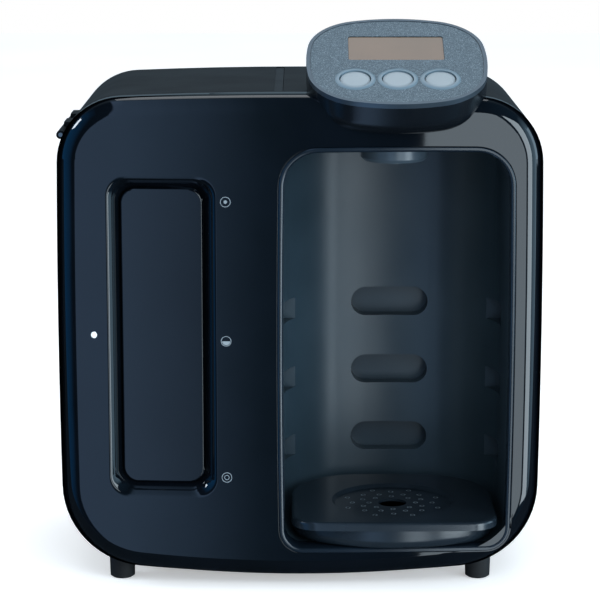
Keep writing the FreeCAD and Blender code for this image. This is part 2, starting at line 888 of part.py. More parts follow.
def window():
    """Crowned smoked lens behind the window's bezel, and the small lamp lens to its left."""
    x = mm("window_offset")
    z = mm("window_low + window_height / 2")
    width = mm("window_width - window_bezel * 2")
    height = mm("window_height - window_bezel * 2")
    corner = mm("window_corner - window_corner_step")
    back = mm(f"{FRONT} + window_depth + lens_wall")
    lap = mm("lens_lap")
    flange_front = mm(f"{FRONT} + window_depth")
    flange_outline = rounded_rectangle(width + 2 * lap, height + 2 * lap, corner + lap)
    flange = run_back(upright(flange_outline, x, flange_front, z), mm("lens_wall"))
    gap = mm("seam")
    crown = mm("lens_crown")
    front = flange_front - crown
    outline = rounded_rectangle(width - 2 * gap, height - 2 * gap, corner - gap)
    pane = run_back(upright(outline, x, front, z), back - front)
    radius = (width**2 / 4 + crown**2) / (2 * crown)
    barrel = Part.makeCylinder(radius, mm(f"{TOP} * 2"), Vector(x, front + radius, 0))
    shaped("tank_window", flange.fuse(pane.common(barrel)).removeSplitter())

    dip = "(face_bulge - sqrt(face_bulge ^ 2 - lamp_offset ^ 2))"
    place = ("lamp_offset", f"{FRONT} + {dip}", "lamp_height")
    lamp = rod("lamp", "lamp_radius", "lamp_length", place, Y_AXIS)
    keep(lamp, "status_lamp")


# Water tank


def tank():
    """Open water tank, the outlet under its floor and the outlet's seal."""
    outer = slab("tank_outer", "tank_width", "tank_length", "tank_height", "tank_corner")
    locate(outer, ("tank_left", TANK_FRONT, "tank_bottom"))
    inner = slab(
        "tank_inner",
        "tank_width - tank_wall * 2",
        "tank_length - tank_wall * 2",
        "tank_height",
        "tank_corner - tank_wall",
    )
    locate(inner, ("tank_left + tank_wall", f"{TANK_FRONT} + tank_wall", "tank_bottom + tank_wall"))
    hole = rod("tank_hole", "outlet_stem", "tank_wall * 4", (OUTLET_X, PUMP_Y, "tank_bottom - tank_wall"))
    keep(cut("tank_cut", outer, inner, hole), "water_tank")

    outlet = turned(
        "outlet_valve",
        [
            ("spigot_bore", "-spigot_length - outlet_flange"),
            ("hose_bore", "-spigot_length - outlet_flange"),
            ("hose_bore", "-outlet_flange"),
            ("outlet_stem * 2.5", "-outlet_flange"),
            ("outlet_stem * 2.5", "-outlet_seal * 2"),
            ("outlet_stem", "-outlet_seal * 2"),
            ("outlet_stem", "tank_wall * 2"),
            ("spigot_bore", "tank_wall * 2"),
        ],
    )
    keep(locate(outlet, (OUTLET_X, PUMP_Y, "tank_bottom")), "tank_outlet")
    place = (OUTLET_X, PUMP_Y, "tank_bottom - outlet_seal")
    keep(ring("outlet_ring", "outlet_stem * 1.8", "outlet_seal", place), "tank_outlet_seal")


# Control pod


def pod_outline(inset):
    """The pod's soft square outline in the plane of its face."""
    return soft_outline(
        mm("pod_width / 2") - inset,
        mm("-pod_length / 2") + inset,
        mm("pod_length / 2") - inset,
        mm("pod_side_crown") - inset,
        mm("pod_end_crown") - inset,
        mm("pod_end_crown") - inset,
        mm("pod_corner") - inset,
        mm("pod_corner") - inset,
    )


def on_pod(shape):
    """Moves a shape from the pod's own axes to the casing's."""
    spot = Vector(mm("bay_offset"), mm(POD_Y), mm(POD_Z))
    return placed(shape, Placement(spot, Rotation(X_AXIS, mm("pod_tilt"))))


def pod_prism(inset, low, high):
    """The pod's outline run between two heights on its own axis."""
    outline = pod_outline(inset)
    outline.translate(Vector(0, 0, low))
    return on_pod(Part.Face(outline).extrude(Vector(0, 0, high - low)))


def pod_block(inset):
    """The pod's bowl as a solid: the outline run down from the face, its underside rolled."""
    depth = mm("pod_depth") - inset
    bowl = Part.Face(pod_outline(inset)).extrude(Vector(0, 0, -depth))
    floor = min(bowl.Faces, key=lambda item: item.CenterOfMass.z)
    return on_pod(bowl.makeFillet(mm("pod_roll") - inset, floor.Edges))


def pod_neck(inset):
    """The neck that carries the raised back of the bowl down to the roof."""
    outline = soft_outline(
        mm("neck_width / 2") - inset,
        mm("-neck_length / 2") + inset,
        mm("neck_length / 2") - inset,
        mm("side_crown") - inset,
        mm("side_crown") - inset,
        mm("side_crown") - inset,
        mm("neck_corner") - inset,
        mm("neck_corner") - inset,
    )
    outline.translate(Vector(mm("bay_offset"), mm(f"{FRONT} + neck_centre"), mm(f"{TOP} - wall * 2")))
    column = Part.Face(outline).extrude(Vector(0, 0, mm("pod_length")))
    return column.common(pod_prism(-mm("pod_length"), -mm("pod_length"), mm("pod_roll - pod_depth")))


def pod():
    """Pod bowl on its neck, the bright rim on the bowl's edge and the face plate inside it."""
    rim_height = mm("pod_rim_height")
    outside = pod_block(0).fuse(pod_neck(0).cut(body_block(0)))
    inside = pod_block(mm("pod_wall")).fuse(pod_neck(mm("pod_wall")))
    above = pod_prism(-mm("pod_wall"), -rim_height, mm("pod_wall"))
    bowl = outside.cut([inside, above])
    posts = []
    for across, along in ((-1, -1), (-1, 1), (1, -1), (1, 1)):
        spot = Vector(across * mm("pod_post_across"), along * mm("pod_post_along"), mm("-pod_depth"))
        height = mm("pod_depth - board_drop - board_wall")
        post = on_pod(Part.makeCylinder(mm("pod_post_radius"), height, spot))
        posts.append(post.common(pod_block(mm("pod_wall / 2"))))
    shaped("pod_bowl", bowl.fuse(posts).removeSplitter())

    rim = pod_prism(0, -rim_height, 0).cut(pod_prism(mm("pod_rim_width"), -2 * rim_height, rim_height))
    shaped("pod_rim", rim)

    plate = pod_prism(mm("pod_rim_width + seam / 2"), -rim_height, -mm("face_step"))
    corner = mm("screen_corner + seam / 2")
    screen = rounded_rectangle(mm("screen_width + seam"), mm("screen_height + seam"), corner)
    screen.translate(Vector(0, mm("screen_up"), -2 * rim_height))
    tools = [on_pod(Part.Face(screen).extrude(Vector(0, 0, 3 * rim_height)))]
    radius = mm("button_radius + button_gap + button_ring_width")
    for index in (-1, 0, 1):
        spot = Vector(index * mm("button_pitch"), -mm("button_down"), -2 * rim_height)
        tools.append(on_pod(Part.makeCylinder(radius, 3 * rim_height, spot)))
    shaped("pod_face", plate.cut(tools))


def controls():
    """Screen lens and module, three buttons in their rings, and the board that they press."""
    lens_wall = "pod_rim_height + seam - face_step - screen_sink"
    lens = slab("screen_blank", "screen_width", "screen_height", lens_wall, "screen_corner")
    low = "-pod_rim_height - seam"
    keep(tilt_with_pod(lens, "-screen_width / 2", "screen_up - screen_height / 2", low), "screen_lens")

    module = box(
        "module",
        "screen_width + module_margin * 2",
        "screen_height + module_margin * 2",
        "board_drop - pod_rim_height - seam",
        ("0", "0", "0"),
    )
    left = "-screen_width / 2 - module_margin"
    front = "screen_up - screen_height / 2 - module_margin"
    keep(tilt_with_pod(module, left, front, "-board_drop"), "screen_module")
    drop = mm("board_drop")
    shaped("display_board", pod_prism(mm("board_inset"), -drop - mm("board_wall"), -drop))

    switches = []
    for index, side in ((-1, "left"), (0, "centre"), (1, "right")):
        x = f"{index} * button_pitch"
        cap = turned(
            f"button_blank_{side}",
            [
                ("0", "-button_height"),
                ("button_radius + button_gap * 2", "-button_height"),
                ("button_radius + button_gap * 2", "button_flange - button_height"),
                ("button_radius", "button_flange - button_height"),
                ("button_radius", "-button_dome"),
                ("button_radius - button_dome * 2", "-button_dome / 4"),
                ("button_radius / 2", "0"),
                ("0", "0"),
            ],
        )
        keep(tilt_with_pod(cap, x, "-button_down", BUTTON_TOP), f"button_{side}")
        bezel = turned(
            f"button_ring_blank_{side}",
            [
                ("button_radius + button_gap", "-pod_rim_height"),
                ("button_radius + button_gap + button_ring_width - seam / 3", "-pod_rim_height"),
                ("button_radius + button_gap + button_ring_width - seam / 3", "-face_step"),
                ("button_radius + button_gap + button_ring_width / 2", "button_ring_proud - face_step"),
                ("button_radius + button_gap", "button_ring_proud - face_step"),
            ],
        )
        keep(tilt_with_pod(bezel, x, "-button_down", "0"), f"button_ring_{side}")
        switch = box(f"switch_{side}", "switch_side", "switch_side", "switch_height", ("0", "0", "0"))
        half = "switch_side / 2"
        switches.append(tilt_with_pod(switch, f"{x} - {half}", f"-button_down - {half}", "-board_drop"))
    keep(fuse("switch_group", *switches), "key_switches")


# Filter holder in the bay's roof


def lug_entry(reach):
    """The pair of gaps in the socket's lip that let the holder's lugs in, before it is twisted."""
    width = "(lug_height * 2 + holder_play * 2)"
    height = f"lug_low - {BAY_TOP}"
    x = f"bay_offset - ({reach}) * cos(twist_angle) + {width} / 2 * sin(twist_angle)"
    y = f"{HOLDER_Y} - ({reach}) * sin(twist_angle) - {width} / 2 * cos(twist_angle)"
    gap = box("lug_entry", f"({reach}) * 2", width, height, ("0", "0", "0"))
    gap.Placement = Placement(Vector(), Rotation(Z_AXIS, 1))
    gap.setExpression("Placement.Rotation.Angle", link("twist_angle"))
    return locate(gap, (x, y, BAY_TOP))


def filter_unit():
    """Twist-in filter holder with its spout, the filter, the socket above and its seal."""
    cup = turned(
        "holder_cup",
        [
            ("spout_radius", "-spout_drop"),
            ("spout_radius + spout_drop", "-spout_drop"),
            ("spout_radius + spout_drop", "0"),
            ("holder_radius - spout_drop", "0"),
            ("holder_radius", "spout_drop"),
            ("holder_radius", "holder_height"),
            ("holder_radius - holder_wall", "holder_height"),
            ("holder_radius - holder_wall", "holder_wall"),
            ("spout_radius", "holder_wall"),
        ],
    )
    locate(cup, ("bay_offset", HOLDER_Y, "holder_low"))
    length = "lug_reach + holder_wall / 2"
    lug_y = f"{HOLDER_Y} - lug_height"
    start = "holder_radius - holder_wall / 2"
    right_x = f"bay_offset + {start}"
    right = box("lug_right", length, "lug_height * 2", "lug_height", (right_x, lug_y, "lug_low"))
    left_x = "bay_offset - holder_radius - lug_reach"
    left = box("lug_left", length, "lug_height * 2", "lug_height", (left_x, lug_y, "lug_low"))
    keep(fuse("holder_fuse", cup, left, right), "filter_holder")

    cartridge = turned(
        "cartridge",
        [
            ("filter_bore", "0"),
            ("filter_radius", "0"),
            ("filter_radius", "filter_height"),
            ("filter_bore", "filter_height"),
        ],
    )
    keep(locate(cartridge, ("bay_offset", HOLDER_Y, "holder_low + holder_wall")), "water_filter")

    groove = f"{SOCKET_RADIUS} + lug_reach"
    base = f"{BAY_TOP} + bay_wall - {HOLDER_TOP}"
    low = f"lug_low - holder_play - {HOLDER_TOP}"
    high = f"lug_low + lug_height + holder_play - {HOLDER_TOP}"
    cap_top = "socket_headroom + socket_cap"
    shell = turned(
        "socket_shell",
        [
            (SOCKET_RADIUS, base),
            (SOCKET_OUTER, base),
            (SOCKET_OUTER, cap_top),
            ("0", cap_top),
            ("0", "socket_headroom"),
            (SOCKET_RADIUS, "socket_headroom"),
            (SOCKET_RADIUS, high),
            (groove, high),
            (groove, low),
            (SOCKET_RADIUS, low),
        ],
    )
    locate(shell, ("bay_offset", HOLDER_Y, HOLDER_TOP))
    inlet = ("bay_offset", f"{HOLDER_Y} + {SOCKET_OUTER} - socket_wall", "hot_height")
    spigot = rod("socket_spigot", "hose_bore", "spigot_length + socket_wall", inlet, Y_AXIS)
    middle = ("bay_offset", HOLDER_Y, "hot_height")
    bore = rod("socket_bore", "spigot_bore", f"{SOCKET_OUTER} + spigot_length * 2", middle, Y_AXIS)
    keep(cut("socket_cut", fuse("socket_fuse", shell, spigot), bore, lug_entry(groove)), "filter_socket")
    seal = ring(
        "socket_ring",
        "holder_radius - holder_wall / 2",
        "holder_wall / 3",
        ("bay_offset", HOLDER_Y, f"{HOLDER_TOP} + holder_wall / 3 + seam / 3"),
    )
    keep(seal, "filter_seal")


# Bottle stand and drip cover


def stand_outline(inset, front_crown, front_corner):
    """The stand's plan: a crowned front and large rear corners."""
    outline = soft_outline(
        mm("stand_width / 2") - inset,
        mm(STAND_FRONT) + inset,
        mm(STAND_REAR) - inset,
        mm("side_crown") - inset,
        front_crown - inset,
        mm("stand_rear_crown") - inset,
        front_corner - inset,
        mm("stand_rear_corner") - inset,
    )
    outline.translate(Vector(mm("bay_offset"), 0, 0))
    return outline


def layer(outline, low, high):
    """A flat outline run up between two heights."""
    outline.translate(Vector(0, 0, low))
    return Part.Face(outline).extrude(Vector(0, 0, high - low))


def stand():
    """Hollow bottle stand with a hook at the back, and the drip cover that lifts off it."""
    low = mm(STAND_LOW)
    top = mm(STAND_TOP)
    crown = mm("stand_front_crown")
    corner = mm("stand_front_corner")
    body = layer(stand_outline(0, crown, corner), low, top)
    floor = min(body.Faces, key=lambda item: item.CenterOfMass.z)
    body = body.makeFillet(mm("stand_roll"), floor.Edges)
    hook = shell_box(
        mm("bay_offset - hook_width / 2"),
        mm("bay_offset + hook_width / 2"),
        mm(f"{STAND_REAR} - stand_wall * 2"),
        mm(f"{STAND_REAR} + hook_reach"),
        top - mm("hook_height"),
        top,
    )
    inside = stand_outline(mm("stand_wall"), crown, corner)
    tray = layer(inside, low + mm("stand_floor"), top + mm("stand_wall"))
    floor = min(tray.Faces, key=lambda item: item.CenterOfMass.z)
    tray = tray.makeFillet(mm("stand_roll - stand_wall"), floor.Edges)
    shaped("bottle_stand", body.fuse(hook).cut(tray).removeSplitter())

    outline = stand_outline(0, mm("cover_front_crown"), mm("cover_front_corner"))
    plate = layer(outline, top, top + mm("cover_height"))
    roof = max(plate.Faces, key=lambda item: item.CenterOfMass.z)
    plate = plate.makeFillet(mm("cover_roll"), roof.Edges)
    lip = mm("cover_plug")
    plug = layer(stand_outline(mm("stand_wall + seam"), crown, corner), top - lip, top + lip / 2)
    hollow = stand_outline(mm("stand_wall * 2"), crown, corner)
    hollow = layer(hollow, top - 2 * lip, top + mm("cover_hollow"))
    dish_y = mm(f"{FRONT} + dish_centre")
    surface = top + mm("cover_height")
    dish = Part.makeCone(
        mm("dish_radius - dish_depth"),
        mm("dish_radius"),
        mm("dish_depth"),
        Vector(mm("bay_offset"), dish_y, surface - mm("dish_depth")),
    )
    through = mm("cover_height * 3")
    below = Vector(mm("bay_offset"), dish_y, surface - through / 2)
    tools = [hollow, dish, Part.makeCylinder(mm("drain_radius"), through, below)]
    count = round(mm("drips_in_ring"))
    for circle in range(round(mm("drip_rings"))):
        radius = mm("drip_first") + circle * mm("drip_step")
        for index in range(count):
            angle = 2 * math.pi * (index + circle % 2 / 2) / count
            spot = below + Vector(radius * math.cos(angle), radius * math.sin(angle), 0)
            tools.append(Part.makeCylinder(mm("drip_radius"), through, spot))
    shaped("drip_cover", plate.fuse(plug).cut(tools).removeSplitter())


# Pump under the tank


def pump():
    """Pump housing, its vaned rotor, the motor and the cradle that holds both."""
    along_x = Rotation(Z_AXIS, X_AXIS)
    inner = "rotor_radius + rotor_gap"
    casing_shell = turned(
        "pump_shell",
        [
            ("shaft_radius + shaft_play", "0"),
            ("pump_radius", "0"),
            ("pump_radius", "pump_length"),
            ("hose_bore", "pump_length"),
            ("hose_bore", "pump_length + spigot_length"),
            ("spigot_bore", "pump_length + spigot_length"),
            ("spigot_bore", "pump_length - pump_wall"),
            (inner, "pump_length - pump_wall"),
            (inner, "pump_wall"),
            ("shaft_radius + shaft_play", "pump_wall"),
        ],
    )
    locate(casing_shell, (PUMP_LEFT, PUMP_Y, "pump_height"), along_x)
    middle = f"{PUMP_LEFT} + pump_length / 2"
    outlet = rod(
        "pump_spigot",
        "hose_bore",
        f"pump_radius + spigot_length - ({inner})",
        (middle, f"{PUMP_Y} + {inner}", "pump_height"),
        Y_AXIS,
    )
    outlet_bore = rod(
        "pump_spigot_bore",
        "spigot_bore",
        "pump_radius + spigot_length * 2",
        (middle, f"{PUMP_Y} + rotor_radius / 2", "pump_height"),
        Y_AXIS,
    )
    keep(cut("pump_cut", fuse("pump_fuse", casing_shell, outlet), outlet_bore), "pump_housing")

    centre = Vector(mm(f"{PUMP_LEFT} + pump_wall + rotor_gap"), mm(PUMP_Y), mm("pump_height"))
    length = mm("pump_length - pump_wall * 2 - rotor_gap * 2")
    hub = Part.makeCylinder(mm("rotor_hub"), length, centre, X_AXIS)
    vanes = []
    count = round(mm("vane_count"))
    for index in range(count):
        corner = centre - Vector(0, mm("vane_wall / 2"), 0)
        vane = Part.makeBox(length, mm("vane_wall"), mm("rotor_radius"), corner)
        vane.rotate(centre, X_AXIS, 360 * index / count)
        vanes.append(vane)
    shaft_length = mm("motor_length / 2") + length + mm("pump_wall + rotor_gap")
    shaft_start = centre + Vector(length - shaft_length, 0, 0)
    shaft = Part.makeCylinder(mm("shaft_radius"), shaft_length, shaft_start, X_AXIS)
    shaped("pump_rotor", hub.multiFuse([*vanes, shaft]).removeSplitter())

    motor = turned(
        "motor_can",
        [
            ("0", "-motor_length"),
            ("motor_radius - pump_wall", "-motor_length"),
            ("motor_radius", "pump_wall - motor_length"),
            ("motor_radius", "0"),
            ("shaft_radius + shaft_play", "0"),
            ("shaft_radius + shaft_play", "-motor_bore"),
            ("0", "-motor_bore"),
        ],
    )
    keep(locate(motor, (PUMP_LEFT, PUMP_Y, "pump_height"), along_x), "pump_motor")

    left = mm(f"{PUMP_LEFT} - motor_length + cradle_wall")
    right = mm("pump_right - cradle_wall")
    half = mm("cradle_width / 2")
    top = mm("pump_height - pump_radius / 2")
    block = shell_box(left, right, mm(PUMP_Y) - half, mm(PUMP_Y) + half, 0, top)
    block = block.common(body_block(mm("wall")))
    seat = Vector(mm(PUMP_LEFT), mm(PUMP_Y), mm("pump_height"))
    can = Part.makeCylinder(mm("motor_radius"), mm("motor_length"), seat, X_AXIS * -1)
    barrel = Part.makeCylinder(mm("pump_radius"), mm("pump_length"), seat, X_AXIS)
    shaped("pump_cradle", block.cut([can, barrel]).removeSplitter())


# Boiler and valve behind the bay


def boiler():
    """Boiler with its heater, thermostat and strap, and the solenoid valve above it."""
    edge = "boiler_chamfer"
    shell = turned(
        "boiler_shell",
        [
            ("spigot_bore", "-spigot_length"),
            ("hose_bore", "-spigot_length"),
            ("hose_bore", "0"),
            (f"boiler_radius - {edge}", "0"),
            ("boiler_radius", edge),
            ("boiler_radius", f"boiler_height - {edge}"),
            (f"boiler_radius - {edge}", "boiler_height"),
            ("hose_bore", "boiler_height"),
            ("hose_bore", "boiler_height + spigot_length"),
            ("spigot_bore", "boiler_height + spigot_length"),
            ("spigot_bore", "boiler_height - boiler_wall"),
            (f"boiler_radius - {edge}", "boiler_height - boiler_wall"),
            ("boiler_radius - boiler_wall", f"boiler_height - {edge}"),
            ("boiler_radius - boiler_wall", edge),
            (f"boiler_radius - {edge}", "boiler_wall"),
            ("spigot_bore", "boiler_wall"),
        ],
    )
    keep(locate(shell, ("boiler_offset", BOILER_Y, "boiler_low")), "boiler")

    foot = "boiler_low + boiler_wall"
    bend_z = f"{foot} + heater_length"
    legs = []
    for side, sign in (("left", "-"), ("right", "+")):
        leg_foot = (f"boiler_offset {sign} heater_spread", BOILER_Y, foot)
        legs.append(rod(f"heater_leg_{side}", "heater_radius", "heater_length", leg_foot))
    bend = document.addObject("Part::Torus", "heater_bend")
    bend.setExpression("Radius1", link("heater_spread"))
    bend.setExpression("Radius2", link("heater_radius"))
    bend.Angle3 = 180
    locate(bend, ("boiler_offset", BOILER_Y, bend_z), Rotation(X_AXIS, 90))
    keep(fuse("heater_fuse", *legs, bend), "heating_element")

    stat_y = f"{BOILER_Y} - boiler_radius / 2"
    stat = rod("stat", "thermostat_radius", "thermostat_height", ("boiler_offset", stat_y, BOILER_TOP))
    keep(stat, "thermostat")

    outer = "boiler_radius + strap_wall"
    band = turned(
        "strap_band",
        [
            ("boiler_radius", "0"),
            (outer, "0"),
            (outer, "strap_height"),
            ("boiler_radius", "strap_height"),
        ],
    )
    strap_z = "boiler_low + boiler_height / 2"
    locate(band, ("boiler_offset", BOILER_Y, strap_z))
    tab = box(
        "strap_tab",
        "boiler_radius",
        "boiler_back - wall - boiler_radius - strap_wall / 2",
        "strap_height",
        ("boiler_offset - boiler_radius / 2", f"{BOILER_Y} + boiler_radius + strap_wall / 2", strap_z),
    )
    core_foot = ("boiler_offset", BOILER_Y, f"{strap_z} - strap_height")
    core = rod("strap_core", "boiler_radius", "strap_height * 3", core_foot)
    keep(cut("strap_cut", fuse("strap_fuse", band, tab), core), "boiler_strap")

    half = "valve_side / 2"
    block = box(
        "valve_block",
        "valve_side",
        "valve_side",
        "valve_height",
        (f"boiler_offset - {half}", f"{BOILER_Y} - {half}", "valve_low"),
    )
    tube_z = "valve_low - spigot_length"
    tube_length = "valve_height + spigot_length * 2"
    tube = rod("valve_tube", "hose_bore", tube_length, ("boiler_offset", BOILER_Y, tube_z))
    bore = rod("valve_bore", "spigot_bore", tube_length, ("boiler_offset", BOILER_Y, tube_z))
    side = (f"boiler_offset - {half}", BOILER_Y, "valve_low + valve_height / 2")
    coil = rod("valve_coil", "coil_radius", "coil_length", side, X_AXIS * -1)
    keep(cut("valve_cut", fuse("valve_fuse", block, tube, coil), bore), "outlet_valve")
    bracket = box(
        "bracket",
        "valve_side",
        f"boiler_back - wall - {half}",
        "bracket_wall",
        (f"boiler_offset - {half}", f"{BOILER_Y} + {half}", "valve_low + valve_height / 2"),
    )
    keep(bracket, "valve_bracket")


# Hoses, each of straight runs joined by tangent arcs


def hose(label, points):
    """A hollow hose along a route, its bends all of one radius."""
    bend = mm("hose_bend")
    edges = []
    start = points[0]
    for corner, after in zip(points[1:-1], points[2:]):
        back = (start - corner).normalize()
        ahead = (after - corner).normalize()
        leave = corner + back * bend
        join = corner + ahead * bend
        middle = corner + (back + ahead) * (bend * (1 - math.sqrt(0.5)))
        edges.append(Part.LineSegment(start, leave).toShape())
        edges.append(Part.Arc(leave, middle, join).toShape())
        start = join
    edges.append(Part.LineSegment(start, points[-1]).toShape())
    path = Part.Wire(edges)
    along = points[1] - points[0]
    tubes = []
    for radius in (mm("hose_radius"), mm("hose_bore")):
        circle = Part.Wire(Part.Circle(points[0], along, radius).toShape())
        tubes.append(path.makePipeShell([circle], True, False))
    tube = tubes[0].cut(tubes[1])
    volume = math.pi * (mm("hose_radius") ** 2 - mm("hose_bore") ** 2) * path.Length
    if abs(tube.Volume / volume - 1) > 0.01:
        raise SystemExit(f"{label}: its volume isn't its section along its route")
    return shaped(label, tube)


def hoses():
    """The four hoses: tank to pump, pump to boiler, boiler to valve and valve to filter socket."""
    pump_y = mm(PUMP_Y)
    pump_z = mm("pump_height")
    pump_x = mm(f"{PUMP_LEFT} + pump_length / 2")
    outlet_x = mm(OUTLET_X)
    boiler_x = mm("boiler_offset")
    boiler_y = mm(BOILER_Y)
    hose(
        "inlet_hose",
        [
            Vector(outlet_x, pump_y, mm("tank_bottom - outlet_flange - seam")),
            Vector(outlet_x, pump_y, pump_z),
            Vector(mm("pump_right + seam"), pump_y, pump_z),
        ],
    )
    hose(
        "feed_hose",
        [
            Vector(pump_x, pump_y + mm("pump_radius + seam"), pump_z),
            Vector(pump_x, boiler_y, pump_z),
            Vector(boiler_x, boiler_y, pump_z),
            Vector(boiler_x, boiler_y, mm("boiler_low - seam")),
        ],
    )
    hose(
        "boiler_hose",
        [
            Vector(boiler_x, boiler_y, mm(f"{BOILER_TOP} + seam")),
            Vector(boiler_x, boiler_y, mm("valve_low - seam")),
        ],
    )
    socket_y = mm(f"{HOLDER_Y} + {SOCKET_OUTER} + seam")
    hose(
        "spout_hose",
        [
            Vector(boiler_x, boiler_y, mm(f"{VALVE_TOP} + seam")),
            Vector(boiler_x, boiler_y, mm("hot_height")),
            Vector(mm("bay_offset"), boiler_y, mm("hot_height")),
            Vector(mm("bay_offset"), socket_y, mm("hot_height")),
        ],
    )


# Electronics, the cord gland and the screws


def screw(name, x, y, z, length, direction):
    """The head and the shank of a screw whose head sits against a point."""
    shank = rod(f"{name}_shank", "screw_radius", length, (x, y, z), direction)
    head = rod(f"{name}_head", "screw_head_radius", "screw_head_height", (x, y, z), direction * -1)
    return shank, head


def electronics():
    """Main and power boards on their posts, with the transformer and the relay on them."""
    posts = []
    shanks = []
    heads = []
    for name in ("main_board", "power_board"):
        left, low, width, height = (f"{name}_{part}" for part in ("offset", "low", "width", "height"))
        board = box(f"{name}_blank", width, "board_wall", height, (left, BOARD_Y, low))
        holes = []
        for across in ("board_post_inset", f"{width} - board_post_inset"):
            for along in ("board_post_inset", f"{height} - board_post_inset"):
                x = f"{left} + {across}"
                z = f"{low} + {along}"
                number = len(posts)
                post_place = (x, f"{BOARD_Y} + board_wall", z)
                post_name = f"post_{number}"
                posts.append(rod(post_name, "board_post_radius", "board_stand_off", post_place, Y_AXIS))
                hole_name = f"hole_{number}"
                hole_place = (x, f"{BOARD_Y} - board_wall", z)
                hole_radius = "screw_radius + screw_play"
                holes.append(rod(hole_name, hole_radius, "board_wall * 3", hole_place, Y_AXIS))
                screw_name = f"board_screw_{number}"
                shank, head = screw(screw_name, x, BOARD_Y, z, "board_screw_length", Y_AXIS)
                shanks.append(shank)
                heads.append(head)
        keep(cut(f"{name}_cut", board, *holes), name)
    keep(cut("post_cut", fuse("post_group", *posts), *shanks), "board_posts")
    keep(fuse("board_screw_group", *shanks, *heads), "board_screws")

    x = "power_board_offset + power_board_width / 2 - transformer_width / 2"
    place = (x, f"{BOARD_Y} - transformer_depth", "power_board_low + transformer_rise")
    core = box("core", "transformer_width", "transformer_depth", "transformer_height", place)
    keep(core, "transformer")
    x = "main_board_offset + main_board_width / 2 - relay_width / 2"
    place = (x, f"{BOARD_Y} - relay_depth", "main_board_low + relay_rise")
    keep(box("relay", "relay_width", "relay_depth", "relay_height", place), "heater_relay")


def gland_and_screws():
    """The cord gland in the rear wall and the screws that hold the base plate."""
    gland = turned(
        "gland",
        [
            ("gland_bore", "-gland_flange_wall"),
            ("gland_flange", "-gland_flange_wall"),
            ("gland_flange", "0"),
            ("gland_radius", "0"),
            ("gland_radius", "wall"),
            ("gland_flange", "wall"),
            ("gland_flange", "wall + gland_flange_wall"),
            ("gland_radius", "wall + gland_flange_wall"),
            ("gland_bore + gland_flange_wall", "wall + gland_length"),
            ("gland_bore", "wall + gland_length"),
        ],
    )
    turn = Rotation(Z_AXIS, Y_AXIS * -1)
    keep(locate(gland, ("gland_offset", REAR, "gland_height"), turn), "cord_gland")

    pieces = []
    for side, sign in (("left", "-"), ("right", "")):
        x = f"{sign}screw_offset"
        name = f"base_screw_{side}"
        pieces.extend(screw(name, x, f"{REAR} - screw_back", "base_screw_low", "screw_length", Z_AXIS))
    keep(fuse("base_screw_group", *pieces), "base_screws")


casing()
lid()
feet()
bay()
window()
tank()
pod()
controls()
filter_unit()
stand()
pump()
boiler()
hoses()
electronics()
gland_and_screws()
document.recompute()

# Checks, then one file for each sub-part

for obj in document.Objects:
    if "Invalid" in obj.State or "Error" in obj.State:
        raise SystemExit(f"{obj.Label}: {obj.State}")
for obj in SUBPARTS:
    if obj.Shape.isNull() or not obj.Shape.isValid() or not obj.Shape.Solids:
        raise SystemExit(f"{obj.Label}: its shape is not a valid solid")

os.makedirs("parts", exist_ok=True)
for obj in SUBPARTS:
    obj.Shape.exportStep(f"parts/{obj.Label}.step")
print(len(SUBPARTS), "sub-parts written")
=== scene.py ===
import json
import math

import bmesh
import bpy
from mathutils import Matrix, Vector

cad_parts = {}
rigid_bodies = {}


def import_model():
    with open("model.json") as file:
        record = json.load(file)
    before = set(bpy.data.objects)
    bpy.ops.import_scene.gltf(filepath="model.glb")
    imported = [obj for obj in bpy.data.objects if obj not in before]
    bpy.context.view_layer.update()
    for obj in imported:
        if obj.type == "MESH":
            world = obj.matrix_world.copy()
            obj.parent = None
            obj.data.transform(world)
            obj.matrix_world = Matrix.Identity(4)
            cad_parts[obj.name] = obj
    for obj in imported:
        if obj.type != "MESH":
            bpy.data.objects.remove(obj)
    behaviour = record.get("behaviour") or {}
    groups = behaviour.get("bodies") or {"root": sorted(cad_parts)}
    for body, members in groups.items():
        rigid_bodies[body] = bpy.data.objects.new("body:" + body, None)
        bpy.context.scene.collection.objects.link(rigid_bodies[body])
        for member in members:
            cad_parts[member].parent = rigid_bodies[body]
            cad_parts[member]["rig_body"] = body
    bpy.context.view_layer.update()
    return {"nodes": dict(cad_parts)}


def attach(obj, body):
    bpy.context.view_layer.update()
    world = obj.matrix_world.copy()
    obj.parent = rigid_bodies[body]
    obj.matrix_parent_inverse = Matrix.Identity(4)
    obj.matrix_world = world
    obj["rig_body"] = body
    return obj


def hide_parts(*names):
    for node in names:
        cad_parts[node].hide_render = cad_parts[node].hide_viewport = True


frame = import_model()

# Pieces are drawn in millimetres, lying flat with their height along Z, and finished in metres
MM = 0.001

# Casing, and the radii of its outline: sides, bottom, top, low corners and high corners
HALF_WIDTH = 140.0
BASE = 7.0
ROOF = 291.0
FRONT = -80.0
BULGE = 1300.0
SEAM = 18.0
ROLL = 11.0
WALL = 2.5
CASING_RADII = (6000, 1000, 2500, 50, 38)

# Bottle bay, and the radii of its outline in the same order
BAY_X = 55.5
BAY_HALF = 65.5
BAY_LOW = 25.5
BAY_HIGH = 258.5
BAY_RADII = (6000, 60000, 2500, 11, 20)
RIM = 3.0
RIM_DEPTH = 14.0
MOUTH_CHAMFER = 0.5

# Section of the bay's bead: how far in from the fascia's opening, and how high over the face
BEAD = (
    (0, -2.0),
    (0.15, 0.2),
    (0.6, 0.55),
    (1.5, 0.6),
    (2.3, 0.4),
    (2.8, -0.1),
    (RIM, -0.8),
    (RIM, -RIM_DEPTH),
)

